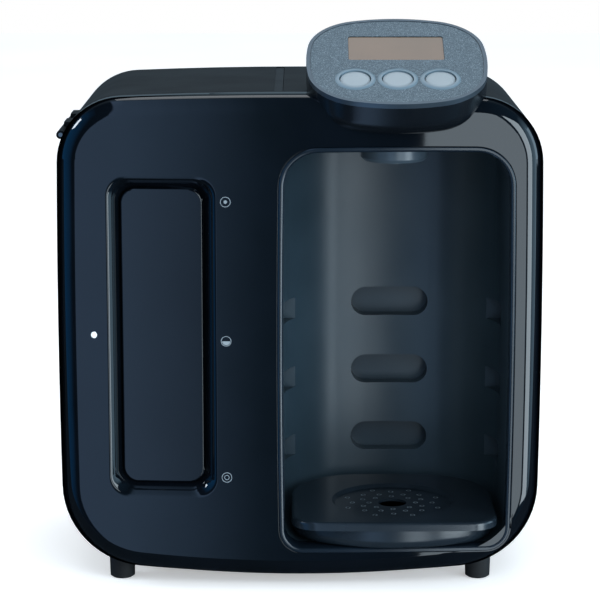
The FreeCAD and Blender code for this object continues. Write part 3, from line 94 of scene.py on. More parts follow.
# Tank window: its bezel narrows by CORNER_LOSS at the corners on the way down to the pane
WINDOW_X = -79.5
WINDOW_Z = 150.0
WINDOW_WIDTH = 62.0
WINDOW_HEIGHT = 188.0
WINDOW_CORNER = 11.5
WINDOW_BEZEL = 8.0
WINDOW_DEPTH = 11.0
CORNER_LOSS = 3.5

# The bezel's straight flank, up to the inset and depth at which its soft brink begins
FLANK_INSET = 2.6
FLANK_DEPTH = 2.2
FLANK_INSETS = (7.2, 5.0, FLANK_INSET)

# Bend radius of the brink, and the share of it that lies outside the window's outline
BRINK = 2.9
BRINK_OUTSIDE = 0.28

# Edge of the pane: inset from the window's outline, and height over the recess's floor
PANE_EDGE = ((7.6, 0.0), (7.7, 0.4), (8.3, 0.9))

# Gap in the fascia's top edge behind the pod, for its neck
NECK_HALF = 41.0
NECK_LOW = 282.0

# Status lamp: its dome's section is a share of its radius and a height over the face
LAMP_X = -118.7
LAMP_Z = 151.8
LAMP_RADIUS = 1.9
LAMP_DOME = ((1.0, -2.0), (1.0, 0.05), (0.8, 0.14), (0.45, 0.2))
LAMP_SHARP = 50

# Printed level marks
MARK_X = -42.5
MARK_HEIGHTS = (68.0, 149.0, 230.0)
MARK_RADIUS = 3.0
MARK_LINE = 0.34
PRINT_PROUD = 0.04

# Drip cover: its dished top, its drain and the rings of drip holes round it
COVER_TOP = 42.3
DRAIN_Y = -35.0
DISH_DEPTH = 2.0
DRIPS = 8
DRIP_RINGS = (14.0, 19.0, 24.0, 29.0)
DRIP_RADIUS = 1.1
# Widths of the painted highlight rings, outside and inside each drip hole's edge
DRIP_HIGHLIGHT_OUTSIDE = 0.35
DRIP_HIGHLIGHT_INSIDE = 0.05

# Steps along arcs, and sides of circles
CROWN_STEPS = 8
CORNER_STEPS = 14
SIDE_STEPS = 16
QUARTER_STEPS = 12
ROLL_STEPS = 16
BRINK_STEPS = 8
CIRCLE_SIDES = 48
LAMP_SIDES = 40

# Where the face and the pane are cut across, so that they can take the bulge
FACE_CUTS = range(-136, 140, 4)
PANE_CUTS = range(-104, -52, 4)

# Points closer than this are one point, in millimetres
WELD = 0.004
SLIVER = 0.002
CUT_WELD = 0.001

# Edges that turn by more degrees than this stay sharp
SHARP = 32

# A bent shell is bent from this far above its foot, so that the foot stays flat
FOOT = 0.1

# How well a face's direction has to match the bulge to count as part of it, as a cosine
FACE_MATCH = 0.99999


# Outlines


def bearing(start, end):
    """The direction from one point to another, in radians."""
    return math.atan2(end.y - start.y, end.x - start.x)


def arc(centre, radius, start, end, steps):
    """Points along an arc, its first end left out."""
    turns = [start + (end - start) * step / steps for step in range(1, steps + 1)]
    return [centre + radius * Vector((math.cos(turn), math.sin(turn))) for turn in turns]


def crossing(first, first_reach, second, second_reach, upward):
    """The outer point at given distances from two centres."""
    gap = second - first
    along = (first_reach**2 - second_reach**2 + gap.length_squared) / (2 * gap.length)
    across = math.sqrt(first_reach**2 - along**2)
    unit = gap.normalized()
    square = Vector((-unit.y, unit.x)) * across
    foot = first + unit * along
    return max(foot + square, foot - square, key=lambda point: point.x + upward * point.y)


def soft_outline(half, low, high, side_crown, low_crown, high_crown, low_corner, high_corner):
    """A closed outline of tangent arcs: four crowned sides and four round corners."""
    side = Vector((half - side_crown, (low + high) / 2))
    bottom = Vector((0, low + low_crown))
    top = Vector((0, high - high_crown))
    low_centre = crossing(side, side_crown - low_corner, bottom, low_crown - low_corner, -1)
    high_centre = crossing(side, side_crown - high_corner, top, high_crown - high_corner, 1)
    turns = (-math.pi / 2, bearing(bottom, low_centre), bearing(side, low_centre))
    turns += (bearing(side, high_centre), bearing(top, high_centre), math.pi / 2)
    right = arc(bottom, low_crown, turns[0], turns[1], CROWN_STEPS)
    right += arc(low_centre, low_corner, turns[1], turns[2], CORNER_STEPS)
    right += arc(side, side_crown, turns[2], turns[3], SIDE_STEPS)
    right += arc(high_centre, high_corner, turns[3], turns[4], CORNER_STEPS)
    right += arc(top, high_crown, turns[4], turns[5], CROWN_STEPS)
    left = [Vector((-point.x, point.y)) for point in reversed(right[:-1])]
    return right + left + [Vector((0, low))]


def rounded_rectangle(width, height, corner):
    """A rectangle with round corners about the origin."""
    points = []
    for quarter, (side, end) in enumerate(((1, 1), (-1, 1), (-1, -1), (1, -1))):
        centre = Vector((side * (width / 2 - corner), end * (height / 2 - corner)))
        start = quarter * math.pi / 2
        points.append(centre + corner * Vector((math.cos(start), math.sin(start))))
        points += arc(centre, corner, start, start + math.pi / 2, QUARTER_STEPS)
    return points


def casing_outline(inset):
    """The casing seen from the front, drawn in by an inset."""
    radii = [radius - inset for radius in CASING_RADII]
    return soft_outline(HALF_WIDTH - inset, BASE + inset, ROOF - inset, *radii)


def bay_outline(grow):
    """The bay's mouth seen from the front, grown outwards."""
    radii = [radius + grow for radius in BAY_RADII]
    points = soft_outline(BAY_HALF + grow, BAY_LOW - grow, BAY_HIGH + grow, *radii)
    return [point + Vector((BAY_X, 0)) for point in points]


def window_outline(inset):
    """The tank window seen from the front, drawn in by an inset."""
    width = WINDOW_WIDTH - 2 * inset
    height = WINDOW_HEIGHT - 2 * inset
    corner = WINDOW_CORNER - inset * CORNER_LOSS / WINDOW_BEZEL
    return [point + Vector((WINDOW_X, WINDOW_Z)) for point in rounded_rectangle(width, height, corner)]


# Bmesh helpers


def ring(bm, points, height):
    """A closed loop of edges on a level."""
    verts = [bm.verts.new((point.x, point.y, height)) for point in points]
    return [bm.edges.new((verts[index - 1], verts[index])) for index in range(len(verts))]


def loft(bm, sections):
    """Rings joined one to the next, and the first and last of them."""
    rings = [ring(bm, points, height) for points, height in sections]
    for near, far in zip(rings, rings[1:]):
        bmesh.ops.bridge_loops(bm, edges=near + far)
    return rings[0], rings[-1]


def circle_edges(bm, radius, centre, sides):
    """A circle on a level, as its edges."""
    place = Matrix.Translation(centre)
    circle = bmesh.ops.create_circle(bm, segments=sides, radius=radius, matrix=place)
    return list({edge for vert in circle["verts"] for edge in vert.link_edges})


def disc(bm, radius, centre):
    """A flat disc on a level."""
    place = Matrix.Translation(centre)
    bmesh.ops.create_circle(bm, cap_ends=True, segments=CIRCLE_SIDES, radius=radius, matrix=place)


def annulus(bm, outer, inner, centre):
    """A flat ring on a level."""
    edges = circle_edges(bm, outer, centre, CIRCLE_SIDES)
    edges += circle_edges(bm, inner, centre, CIRCLE_SIDES)
    bmesh.ops.bridge_loops(bm, edges=edges)


def cut(bm, place, direction, **options):
    """Cuts every face along a plane."""
    geometry = bm.verts[:] + bm.edges[:] + bm.faces[:]
    bmesh.ops.bisect_plane(bm, geom=geometry, plane_co=place, plane_no=direction, **options)


def face_up(bm):
    """Turns flat faces to look along their height."""
    for face in bm.faces:
        if face.normal.z < 0:
            face.normal_flip()


def stand_up(bm):
    """Turns what lies flat to face the front, its height towards the viewer."""
    bmesh.ops.rotate(bm, verts=bm.verts, cent=(0, 0, 0), matrix=Matrix.Rotation(math.pi / 2, 3, "X"))
    bmesh.ops.translate(bm, verts=bm.verts, vec=(0, FRONT, 0))


def dip(x):
    """How far the bulged face lies behind its middle."""
    return BULGE - math.sqrt(BULGE**2 - x**2)


def bend(bm, depth):
    """Lays a shell back along the bulge, but for its foot at a depth."""
    for vert in bm.verts:
        if vert.co.z > FOOT - depth:
            vert.co.z -= dip(vert.co.x)


def bulge_normal(x):
    """The direction that the bulged face looks in at a place across it."""
    return Vector((x, -math.sqrt(BULGE**2 - x**2), 0)) / BULGE


def smooth_bulge(piece):
    """Gives the bulged face the normals of its cylinder, so that it mirrors without ripples."""
    mesh = piece.data
    on_face = set()
    for polygon in mesh.polygons:
        if polygon.normal.dot(bulge_normal(polygon.center.x / MM)) > FACE_MATCH:
            on_face.update(polygon.vertices)
    normals = [normal.vector for normal in mesh.corner_normals]
    for loop in mesh.loops:
        if loop.vertex_index in on_face:
            normals[loop.index] = bulge_normal(mesh.vertices[loop.vertex_index].co.x / MM)
    mesh.normals_split_custom_set(normals)


def finished(name, bm, body, material, nodes=(), sharp=SHARP, outward=True):
    """A drawn piece in metres, smooth but for its sharp edges, that stands for CAD nodes."""
    bmesh.ops.remove_doubles(bm, verts=bm.verts, dist=WELD)
    if outward:
        bmesh.ops.recalc_face_normals(bm, faces=bm.faces)
    bmesh.ops.scale(bm, vec=(MM, MM, MM), verts=bm.verts)
    for face in bm.faces:
        face.smooth = True
    for edge in bm.edges:
        edge.smooth = len(edge.link_faces) == 2 and edge.calc_face_angle() < math.radians(sharp)
    mesh = bpy.data.meshes.new(name)
    bm.to_mesh(mesh)
    bm.free()
    piece = bpy.data.objects.new(name, mesh)
    bpy.context.scene.collection.objects.link(piece)
    mesh.materials.append(material)
    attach(piece, body)
    if nodes:
        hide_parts(*nodes)
    return piece


def moulded(node, material):
    """A merged copy of a CAD node with smooth curves."""
    source = frame["nodes"][node]
    bm = bmesh.new()
    bm.from_mesh(source.data)
    bmesh.ops.remove_doubles(bm, verts=bm.verts, dist=WELD * MM)
    bmesh.ops.dissolve_degenerate(bm, edges=bm.edges, dist=SLIVER * MM)
    bmesh.ops.scale(bm, vec=(1 / MM,) * 3, verts=bm.verts)
    finished(f"{node}_moulded", bm, source["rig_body"], material, (node,), outward=False)


# Materials

# Size of the faint clouds in a moulding's colour, and the noise values between which they fade
CLOUD_MM = 40
CLOUD_LOW = 0.3
CLOUD_HIGH = 0.7

# Share by which the clouds vary the roughness, and height of a grain as a share of its width
ROUGH_SPREAD = 0.1
GRAIN_RELIEF = 0.2

# Paint flakes, which are ten times finer in reality and are drawn this coarse so that they show
FLAKE_MM = 0.34
FLAKE_RELIEF_MM = 0.1


def linear(code):
    """An sRGB hex colour as the linear values that shaders take."""
    values = [int(code[at : at + 2], 16) / 255 for at in (1, 3, 5)]
    return [*(v / 12.92 if v <= 0.04045 else ((v + 0.055) / 1.055) ** 2.4 for v in values), 1.0]


def add(material, kind, settings=None, links=None):
    """A shader node with its settings, and its inputs linked to other nodes' outputs."""
    tree = material.node_tree
    node = tree.nodes.new(kind)
    for name, value in (settings or {}).items():
        if name in node.inputs:
            node.inputs[name].default_value = value
        else:
            setattr(node, name, value)
    for name, source in (links or {}).items():
        tree.links.new(source, node.inputs[name])
    return node


def new_material(name):
    """A material with an empty node tree."""
    material = bpy.data.materials.new(name)
    material.use_nodes = True
    material.node_tree.nodes.clear()
    return material


def ramp(material, factor, stops):
    """A colour ramp over a factor, its stops given as position and colour."""
    node = add(material, "ShaderNodeValToRGB", links={"Fac": factor})
    elements = node.color_ramp.elements
    while len(elements) < len(stops):
        elements.new(0.5)
    for element, (position, code) in zip(elements, stops):
        element.position = position
        element.color = linear(code)
    return node.outputs["Color"]


def plastic(name, dark, light, roughness, grain_mm, bump, **shader):
    """A moulded or drawn surface: a faint cloud in the colour and the gloss, and a fine grain."""
    material = new_material(name)
    place = add(material, "ShaderNodeTexCoord").outputs["Object"]
    cloud_settings = {"Scale": 1 / (CLOUD_MM * MM), "Detail": 3.0}
    cloud = add(material, "ShaderNodeTexNoise", cloud_settings, {"Vector": place}).outputs["Fac"]
    grain_settings = {"Scale": 1 / (grain_mm * MM), "Detail": 2.0}
    grain = add(material, "ShaderNodeTexNoise", grain_settings, {"Vector": place}).outputs["Fac"]
    colour = ramp(material, cloud, ((CLOUD_LOW, dark), (CLOUD_HIGH, light)))
    limits = {
        "From Min": CLOUD_LOW,
        "From Max": CLOUD_HIGH,
        "To Min": roughness * (1 - ROUGH_SPREAD),
        "To Max": roughness * (1 + ROUGH_SPREAD),
    }
    rough = add(material, "ShaderNodeMapRange", limits, {"Value": cloud}).outputs["Result"]
    relief = {"Strength": bump, "Distance": grain_mm * MM * GRAIN_RELIEF}
    height = add(material, "ShaderNodeBump", relief, {"Height": grain}).outputs["Normal"]
    links = {"Base Color": colour, "Roughness": rough, "Normal": height}
    body = add(material, "ShaderNodeBsdfPrincipled", shader, links)
    add(material, "ShaderNodeOutputMaterial", links={"Surface": body.outputs["BSDF"]})
    return material


def flaked_paint():
    """Sprayed metallic paint: slate blue, with pale and dark flakes that sparkle under a satin coat."""
    material = new_material("metallic_slate_paint")
    place = add(material, "ShaderNodeTexCoord").outputs["Object"]
    size = {"Scale": 1 / (FLAKE_MM * MM)}
    flakes = add(material, "ShaderNodeTexVoronoi", size, {"Vector": place}).outputs["Color"]
    shade = add(material, "ShaderNodeSeparateColor", links={"Color": flakes}).outputs["Red"]
    colour = ramp(material, shade, ((0.0, "#33444f"), (0.7, "#4c5f6b"), (1.0, "#7f919c")))
    relief = {"Strength": 0.15, "Distance": FLAKE_RELIEF_MM * MM}
    height = add(material, "ShaderNodeBump", relief, {"Height": shade}).outputs["Normal"]
    settings = {"Metallic": 0.35, "Roughness": 0.42}
    body = add(material, "ShaderNodeBsdfPrincipled", settings, {"Base Color": colour, "Normal": height})
    add(material, "ShaderNodeOutputMaterial", links={"Surface": body.outputs["BSDF"]})
    return material


# Each surface gives its dark and light colour, roughness, width of grain in millimetres and its bump.
# Grains finer than half a millimetre are drawn about that coarse, so that they show.

# Polished ABS: near black and mirror-like, with the faint ripple of a moulded skin
piano_black = plastic("piano_black_abs", "#04070b", "#060a10", 0.04, 0.8, 0.004, IOR=1.5)
# Spark-eroded ABS: near black and satin, with a fine sandy grain
satin_black = plastic("spark_eroded_black_abs", "#0a0e12", "#0e1317", 0.5, 0.6, 0.2, IOR=1.3)
# ABS from a polished mould: near black, its reflections soft and a little blurred
bowl_black = plastic("polished_black_bowl_abs", "#080c11", "#0b1015", 0.22, 0.8, 0.02, IOR=1.5)
# Spark-eroded ABS: one step lighter than the lid beside it, with the same sandy grain
grip_grey = plastic("spark_eroded_grey_abs", "#14191e", "#191f25", 0.45, 0.6, 0.2, IOR=1.35)
# Satin-moulded polypropylene: slate blue, with a broad soft sheen down its curved rear
liner_slate = plastic("satin_slate_polypropylene", "#223039", "#283741", 0.33, 0.8, 0.12, IOR=1.49)
# ABS from a polished mould: dark slate, with soft glints along its edges
stand_slate = plastic("polished_slate_abs", "#131b22", "#172028", 0.24, 1.2, 0.05, IOR=1.5)
# Moulded ABS edges in a pale slate: a painted highlight, fine light circles in the dark cover where the
# round hole edges would catch the light
drip_highlight_slate = plastic("slate_abs_painted_highlight", "#71828c", "#80909a", 0.35, 0.4, 0.05, IOR=1.5)
# Moulded polypropylene: a mid slate grey with a smooth, slightly waxy shine
holder_grey = plastic("moulded_slate_polypropylene", "#394651", "#43515c", 0.3, 0.8, 0.05, IOR=1.49)
# Satin-moulded ABS: a lighter blue grey that rings each button
ring_grey = plastic("satin_ring_abs", "#5e7482", "#687e8c", 0.3, 0.6, 0.05, IOR=1.5)
# Moulded rubber: black and dull, with a slightly rough skin
rubber = plastic("moulded_black_rubber", "#0d0f11", "#14171a", 0.7, 0.5, 0.4, IOR=1.5)
# Metallic pewter grey ABS with a soft metal shine: its pale tone is a painted highlight along the pod's
# rim
pewter_rim_highlight = plastic("pewter_tone_painted_highlight_abs", "#46545f", "#525f6a", 0.34, 0.7, 0.05, Metallic=0.8)
# Polished ABS: dark slate, with a crisp thin highlight along its round edge
rim_slate = plastic("polished_rim_abs", "#0c141c", "#101a24", 0.16, 0.9, 0.03, IOR=1.5)
face_paint = flaked_paint()
# Satin-moulded ABS: pale grey and smooth, without sparkle
button_grey = plastic("satin_grey_abs", "#88959d", "#929ea6", 0.4, 0.6, 0.1, IOR=1.5)
# Polished acrylic, smoked brown: a warm dark pane with clear reflections
screen_glass = plastic("smoked_acrylic", "#5a4837", "#644f3d", 0.12, 0.6, 0.02, IOR=1.5)
# Polished polycarbonate, smoked nearly black: as glossy as the fascia round it
window_glass = plastic("smoked_polycarbonate", "#06080c", "#080b10", 0.06, 0.8, 0.004, IOR=1.5)
# Screen-printed ink: a flat pale grey that stays dull on the gloss
white_print = plastic("white_printing_ink", "#77838b", "#828e96", 0.5, 0.4, 0.05, IOR=1.5)
# Moulded opal polycarbonate: milky white, with a small soft highlight
lamp_white = plastic("opal_polycarbonate", "#dfe9ee", "#eef4f7", 0.3, 0.5, 0.05, IOR=1.5)
# Moulded nylon without dye: warm off-white and satin
natural_nylon = plastic("natural_nylon", "#cfccc2", "#d8d5cc", 0.45, 0.8, 0.15, IOR=1.53)
# Moulded copolyester: a pale clear wall with smooth gloss, waved over several millimetres
clear_tank = plastic("clear_copolyester", "#b9c6cc", "#c4d0d6", 0.1, 6, 0.02, IOR=1.5, Alpha=0.4)
# Drawn stainless steel: grey metal with blurred reflections
steel = plastic("drawn_stainless_steel", "#8c8f91", "#a0a3a5", 0.3, 0.4, 0.1, Metallic=1.0)
# Epoxy board coated with solder resist: deep green and half glossy
board_green = plastic("green_solder_resist", "#0c3a24", "#12472d", 0.35, 1.5, 0.1, IOR=1.5)
# Moulded epoxy: charcoal and matt
module_black = plastic("moulded_black_epoxy", "#101214", "#17191b", 0.5, 0.5, 0.2, IOR=1.5)
# Extruded silicone: milky pale grey with a soft, waxy shine
silicone = plastic("extruded_silicone", "#c9d0d2", "#d5dbdd", 0.4, 0.8, 0.1, IOR=1.41)
# Bonded polyester felt: white, fibrous and without shine
felt = plastic("bonded_filter_felt", "#d9dcdc", "#e6e8e8", 0.9, 0.7, 0.5, IOR=1.5)


# Pieces


def fascia():
    """Glossy front shell: rolled edge, bulged face, window bezel and the mouth of the bay."""
    bm = bmesh.new()
    sections = [(casing_outline(WALL), -SEAM), (casing_outline(0), -SEAM), (casing_outline(0), -ROLL)]
    for step in range(1, ROLL_STEPS + 1):
        turn = math.pi / 2 * step / ROLL_STEPS
        sections.append((casing_outline(ROLL * (1 - math.cos(turn))), ROLL * (math.sin(turn) - 1)))
    outer = loft(bm, sections)[1]
    slope = (WINDOW_DEPTH - FLANK_DEPTH) / (WINDOW_BEZEL - FLANK_INSET)
    bezel = [(window_outline(WINDOW_BEZEL), -WINDOW_DEPTH)]
    for inset in FLANK_INSETS:
        bezel.append((window_outline(inset), -FLANK_DEPTH - slope * (inset - FLANK_INSET)))
    for step in range(BRINK_STEPS - 1, -1, -1):
        turn = math.atan(slope) * step / BRINK_STEPS
        inset = BRINK * (math.sin(turn) - BRINK_OUTSIDE)
        bezel.append((window_outline(inset), BRINK * (math.cos(turn) - 1)))
    window = loft(bm, bezel)[1]
    sections = [(bay_outline(RIM), -RIM_DEPTH), (bay_outline(RIM), -MOUTH_CHAMFER)]
    sections.append((bay_outline(RIM + MOUTH_CHAMFER), 0))
    mouth = loft(bm, sections)[1]
    bmesh.ops.triangle_fill(bm, edges=outer + window + mouth, use_beauty=True)
    for x in (*FACE_CUTS, BAY_X - NECK_HALF, BAY_X + NECK_HALF):
        cut(bm, (x, 0, 0), (1, 0, 0), dist=CUT_WELD)
    cut(bm, (0, NECK_LOW, 0), (0, 1, 0), dist=CUT_WELD)
    centres = [(face, face.calc_center_median()) for face in bm.faces]
    behind = [face for face, at in centres if abs(at.x - BAY_X) < NECK_HALF and at.y > NECK_LOW]
    bmesh.ops.delete(bm, geom=behind, context="FACES")
    bend(bm, WINDOW_DEPTH)
    stand_up(bm)
    smooth_bulge(finished("fascia_shell", bm, "unit", piano_black, ("front_fascia",)))


def bay_rim():
    """Thin bead round the bay's mouth."""
    bm = bmesh.new()
    loft(bm, [(bay_outline(RIM - inset), height) for inset, height in BEAD])
    bend(bm, RIM_DEPTH)
    stand_up(bm)
    finished("bay_rim_bead", bm, "unit", rim_slate, ("bay_rim",))


def level_marks():
    """The three printed level marks beside the window: from the top, a ring and dot, a half-filled
    ring and a double ring."""
    bm = bmesh.new()
    for height in MARK_HEIGHTS:
        annulus(bm, MARK_RADIUS, MARK_RADIUS - MARK_LINE, (MARK_X, height, 0))
    low, middle, high = MARK_HEIGHTS
    annulus(bm, MARK_RADIUS / 2, MARK_RADIUS / 2 - MARK_LINE, (MARK_X, low, 0))
    disc(bm, MARK_RADIUS / 3, (MARK_X, high, 0))
    half = bmesh.new()
    disc(half, MARK_RADIUS - MARK_LINE * 2, (MARK_X, middle, 0))
    cut(half, (0, middle, 0), (0, 1, 0), clear_outer=True)
    scrap = bpy.data.meshes.new("half_mark")
    half.to_mesh(scrap)
    half.free()
    bm.from_mesh(scrap)
    bpy.data.meshes.remove(scrap)
    for vert in bm.verts:
        vert.co.z = PRINT_PROUD - dip(vert.co.x)
    bmesh.ops.recalc_face_normals(bm, faces=bm.faces)
    face_up(bm)
    stand_up(bm)
    finished("level_marks", bm, "unit", white_print, outward=False)


def window_lens():
    """The smoked pane on the floor of the window recess, bulged like the face."""
    bm = bmesh.new()
    sections = [(window_outline(inset), height - WINDOW_DEPTH) for inset, height in PANE_EDGE]
    top = loft(bm, sections)[1]
    bmesh.ops.triangle_fill(bm, edges=top, use_beauty=True)
    for x in PANE_CUTS:
        cut(bm, (x, 0, 0), (1, 0, 0), dist=CUT_WELD)
    for vert in bm.verts:
        vert.co.z -= dip(vert.co.x) - dip(WINDOW_X - WINDOW_WIDTH / 2 + WINDOW_BEZEL)
    stand_up(bm)
    smooth_bulge(finished("window_lens", bm, "unit", window_glass, ("tank_window",)))


def status_lamp():
    """The small domed lamp in the face."""
    bm = bmesh.new()
    rings = []
    for share, height in LAMP_DOME:
        centre = (LAMP_X, LAMP_Z, height - dip(LAMP_X))
        rings.append(circle_edges(bm, LAMP_RADIUS * share, centre, LAMP_SIDES))
    for near, far in zip(rings, rings[1:]):
        bmesh.ops.bridge_loops(bm, edges=near + far)
    for end in (rings[0], rings[-1]):
        bmesh.ops.contextual_create(bm, geom=end)
    stand_up(bm)
    finished("lamp_dome", bm, "unit", lamp_white, ("status_lamp",), LAMP_SHARP)


def painted_drip_highlights():
    """The painted highlights round the drip holes near the drain: pale rings where the hole edges would
    catch the light.
    """
    bm = bmesh.new()
    level = COVER_TOP - DISH_DEPTH + PRINT_PROUD
    for number, reach in enumerate(DRIP_RINGS):
        for index in range(DRIPS):
            turn = 2 * math.pi * (index + number % 2 / 2) / DRIPS
            centre = (BAY_X + reach * math.cos(turn), DRAIN_Y + reach * math.sin(turn), level)
            annulus(bm, DRIP_RADIUS + DRIP_HIGHLIGHT_OUTSIDE, DRIP_RADIUS - DRIP_HIGHLIGHT_INSIDE, centre)
    face_up(bm)
    finished("painted_drip_highlights", bm, "drip_cover", drip_highlight_slate, outward=False)


fascia()
bay_rim()
level_marks()
window_lens()
status_lamp()
painted_drip_highlights()

# What every other node is made of
finishes = {
    satin_black: ("rear_housing", "base_plate", "tank_lid"),
    bowl_black: ("pod_bowl",),
    grip_grey: ("lid_grip",),
    liner_slate: ("bay_liner",),
    pewter_rim_highlight: ("pod_rim",),
    clear_tank: ("water_tank",),
    natural_nylon: (
        "tank_outlet",
        "filter_socket",
        "pump_housing",
        "pump_cradle",
        "pump_rotor",
        "outlet_valve",
        "board_posts",
    ),
    face_paint: ("pod_face",),
    ring_grey: ("button_ring_left", "button_ring_centre", "button_ring_right"),
    screen_glass: ("screen_lens",),
    module_black: ("screen_module", "key_switches", "heater_relay", "transformer"),
    holder_grey: ("filter_holder",),
    board_green: ("display_board", "main_board", "power_board"),
    button_grey: ("button_left", "button_centre", "button_right"),
    felt: ("water_filter",),
    stand_slate: ("bottle_stand", "drip_cover"),
    silicone: ("inlet_hose", "feed_hose", "boiler_hose", "spout_hose"),
    rubber: (
        "foot_front_left",
        "foot_front_right",
        "foot_rear_left",
        "foot_rear_right",
        "tank_outlet_seal",
        "filter_seal",
        "cord_gland",
    ),
    steel: (
        "lid_hinge_pin",
        "board_screws",
        "base_screws",
        "boiler",
        "heating_element",
        "boiler_strap",
        "valve_bracket",
        "thermostat",
        "pump_motor",
    ),
}
for material, nodes in finishes.items():
    for node in nodes:
        moulded(node, material)


# Studio, in metres

# What shiny surfaces mirror from before the object, from far left to far right
FRONT_LIGHT = (
    (0.0, "#1c5f96"),
    (0.09, "#184f7e"),
    (0.2, "#0a1420"),
    (0.325, "#0b1420"),
    (0.34, "#7590b4"),
    (0.39, "#6f8bac"),
    (0.475, "#2a3c4c"),
    (0.5, "#1a2834"),
    (0.58, "#0a141c"),
    (0.9, "#22384a"),
    (0.96, "#8fb4cc"),
    (1.0, "#a8cce4"),
)

# What they mirror from behind it, and the directions along Y between which one fades to the other
BACK_LIGHT = "#3c4850"
BACK_FADE = (0.1, 0.4)

# The floor's middle lies so far back that its front edge is 35 mm before the object
FLOOR_HALF = (4.0, 2.0, 1.0)
FLOOR_MIDDLE = 1.87
FLOOR_GLOW = 0.42

CAMERA_PLACE = (0, -1.43, 0.437)
CAMERA_DOWN = 11.05
CAMERA_LENS = 144
CAMERA_SENSOR = 36


def studio_floor():
    """A pale painted floor. Shiny surfaces mirror it as dim, and everything else sees it bright."""
    bm = bmesh.new()
    bmesh.ops.create_grid(bm, x_segments=2, y_segments=2, size=1.0)
    bmesh.ops.scale(bm, vec=FLOOR_HALF, verts=bm.verts)
    bmesh.ops.translate(bm, verts=bm.verts, vec=(0, FLOOR_MIDDLE, 0))
    mesh = bpy.data.meshes.new("floor")
    bm.to_mesh(mesh)
    bm.free()
    floor = bpy.data.objects.new("floor", mesh)
    bpy.context.scene.collection.objects.link(floor)
    material = new_material("white_painted_floor")
    place = add(material, "ShaderNodeTexCoord").outputs["Object"]
    cloud = add(material, "ShaderNodeTexNoise", {"Scale": 3.0}, {"Vector": place}).outputs["Fac"]
    colour = ramp(material, cloud, ((CLOUD_LOW, "#f4f5f6"), (CLOUD_HIGH, "#f8f9fa")))
    settings = {"Roughness": 0.9, "Emission Strength": FLOOR_GLOW}
    links = {"Base Color": colour, "Emission Color": colour}
    bright = add(material, "ShaderNodeBsdfPrincipled", settings, links)
    dim = add(material, "ShaderNodeBsdfDiffuse", {"Color": linear("#39424a")})
    path = add(material, "ShaderNodeLightPath")
    mix = add(material, "ShaderNodeMixShader", links={"Fac": path.outputs["Is Glossy Ray"]})
    material.node_tree.links.new(bright.outputs[0], mix.inputs[1])
    material.node_tree.links.new(dim.outputs[0], mix.inputs[2])
    add(material, "ShaderNodeOutputMaterial", links={"Surface": mix.outputs[0]})
    mesh.materials.append(material)


def softbox(name, place, aim, width, height, strength, colour, mirrored=True):
    """A flat studio light that faces a point and isn't seen by the camera."""
    lamp = bpy.data.lights.new(name, "AREA")
    lamp.shape = "RECTANGLE"
    lamp.size = width
    lamp.size_y = height
    lamp.energy = strength * width * height * math.pi
    lamp.color = linear(colour)[:3]
    light = bpy.data.objects.new(name, lamp)
    light.location = place
    light.rotation_euler = (Vector(aim) - Vector(place)).to_track_quat("-Z", "Y").to_euler()
    light.visible_camera = False
    light.visible_glossy = mirrored
    bpy.context.scene.collection.objects.link(light)


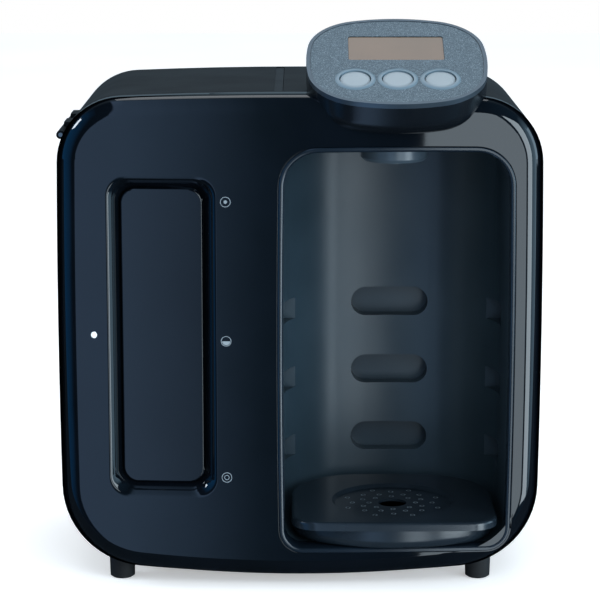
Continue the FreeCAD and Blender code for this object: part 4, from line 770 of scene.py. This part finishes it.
def studio_world():
    """The camera sees white everywhere, shiny surfaces mirror the front and back lights, and the
    rest is lit by an even pale sky."""
    world = bpy.data.worlds.new("studio")
    world.use_nodes = True
    world.node_tree.nodes.clear()
    bpy.context.scene.world = world
    path = add(world, "ShaderNodeLightPath")
    direction = add(world, "ShaderNodeTexCoord").outputs["Generated"]
    split = add(world, "ShaderNodeSeparateXYZ", links={"Vector": direction})
    limits = {"From Min": -1.0, "From Max": 1.0, "To Min": 0.0, "To Max": 1.0}
    across = add(world, "ShaderNodeMapRange", limits, {"Value": split.outputs["X"]}).outputs["Result"]
    ahead = ramp(world, across, FRONT_LIGHT)
    limits = {"From Min": BACK_FADE[0], "From Max": BACK_FADE[1], "To Min": 0.0, "To Max": 1.0}
    behind = add(world, "ShaderNodeMapRange", limits, {"Value": split.outputs["Y"]}).outputs["Result"]
    seen = add(world, "ShaderNodeMixRGB", {"Color2": linear(BACK_LIGHT)}, {"Fac": behind, "Color1": ahead})
    diffuse = add(world, "ShaderNodeBackground", {"Color": linear("#e6ebef"), "Strength": 0.8})
    glossy = add(world, "ShaderNodeBackground", {"Strength": 3.0}, {"Color": seen.outputs["Color"]})
    white = add(world, "ShaderNodeBackground", {"Color": linear("#ffffff"), "Strength": 1.0})
    soft = add(world, "ShaderNodeMixShader", links={"Fac": path.outputs["Is Glossy Ray"]})
    world.node_tree.links.new(diffuse.outputs[0], soft.inputs[1])
    world.node_tree.links.new(glossy.outputs[0], soft.inputs[2])
    final = add(world, "ShaderNodeMixShader", links={"Fac": path.outputs["Is Camera Ray"]})
    world.node_tree.links.new(soft.outputs[0], final.inputs[1])
    world.node_tree.links.new(white.outputs[0], final.inputs[2])
    add(world, "ShaderNodeOutputWorld", links={"Surface": final.outputs[0]})


def studio_camera():
    """The photograph's view: centred, 1.35 m before the face, looking 11 degrees down."""
    lens = bpy.data.cameras.new("camera")
    lens.lens = CAMERA_LENS
    lens.sensor_width = CAMERA_SENSOR
    camera = bpy.data.objects.new("camera", lens)
    camera.location = CAMERA_PLACE
    camera.rotation_euler = (math.radians(90 - CAMERA_DOWN), 0, 0)
    bpy.context.scene.collection.objects.link(camera)
    bpy.context.scene.camera = camera


studio_floor()
studio_world()
# The pale band that the glossy face mirrors right of the bay
softbox("right_panel", (0.93, -2.6, -0.2), (0.93, 0, -0.2), 0.9, 3.0, 4.4, "#cbdbe6")
# Light from the right on the casing's edge and the bay's left wall
softbox("right_side_panel", (2.0, -1.75, 0.3), (0.05, -0.08, 0.1), 1.15, 2.6, 9.0, "#cfdfe9")
# Light on the right side
softbox("right_wing", (2.5, 0.35, 0.3), (-0.1, -0.07, 0.15), 1.3, 2.0, 2.6, "#b8d4e6")
# A glint on the upper left corner
softbox("left_corner_panel", (-2.3, 0.0, 1.45), (-0.12, 0, 0.25), 0.5, 0.5, 18.0, "#e8f4ff")
# Light on the roof and the pod from above
softbox("overhead", (0.05, 0.85, 1.9), (0.05, 0, 0.3), 1.2, 0.8, 2.0, "#eef3f8")
# A fill for the inside of the bay, which shiny surfaces don't mirror
softbox("front_fill", (0.3, -1.7, 1.5), (0.05, 0, 0.15), 0.9, 0.9, 4.5, "#eef4fa", False)
studio_camera()

bpy.context.scene.view_settings.view_transform = "Standard"
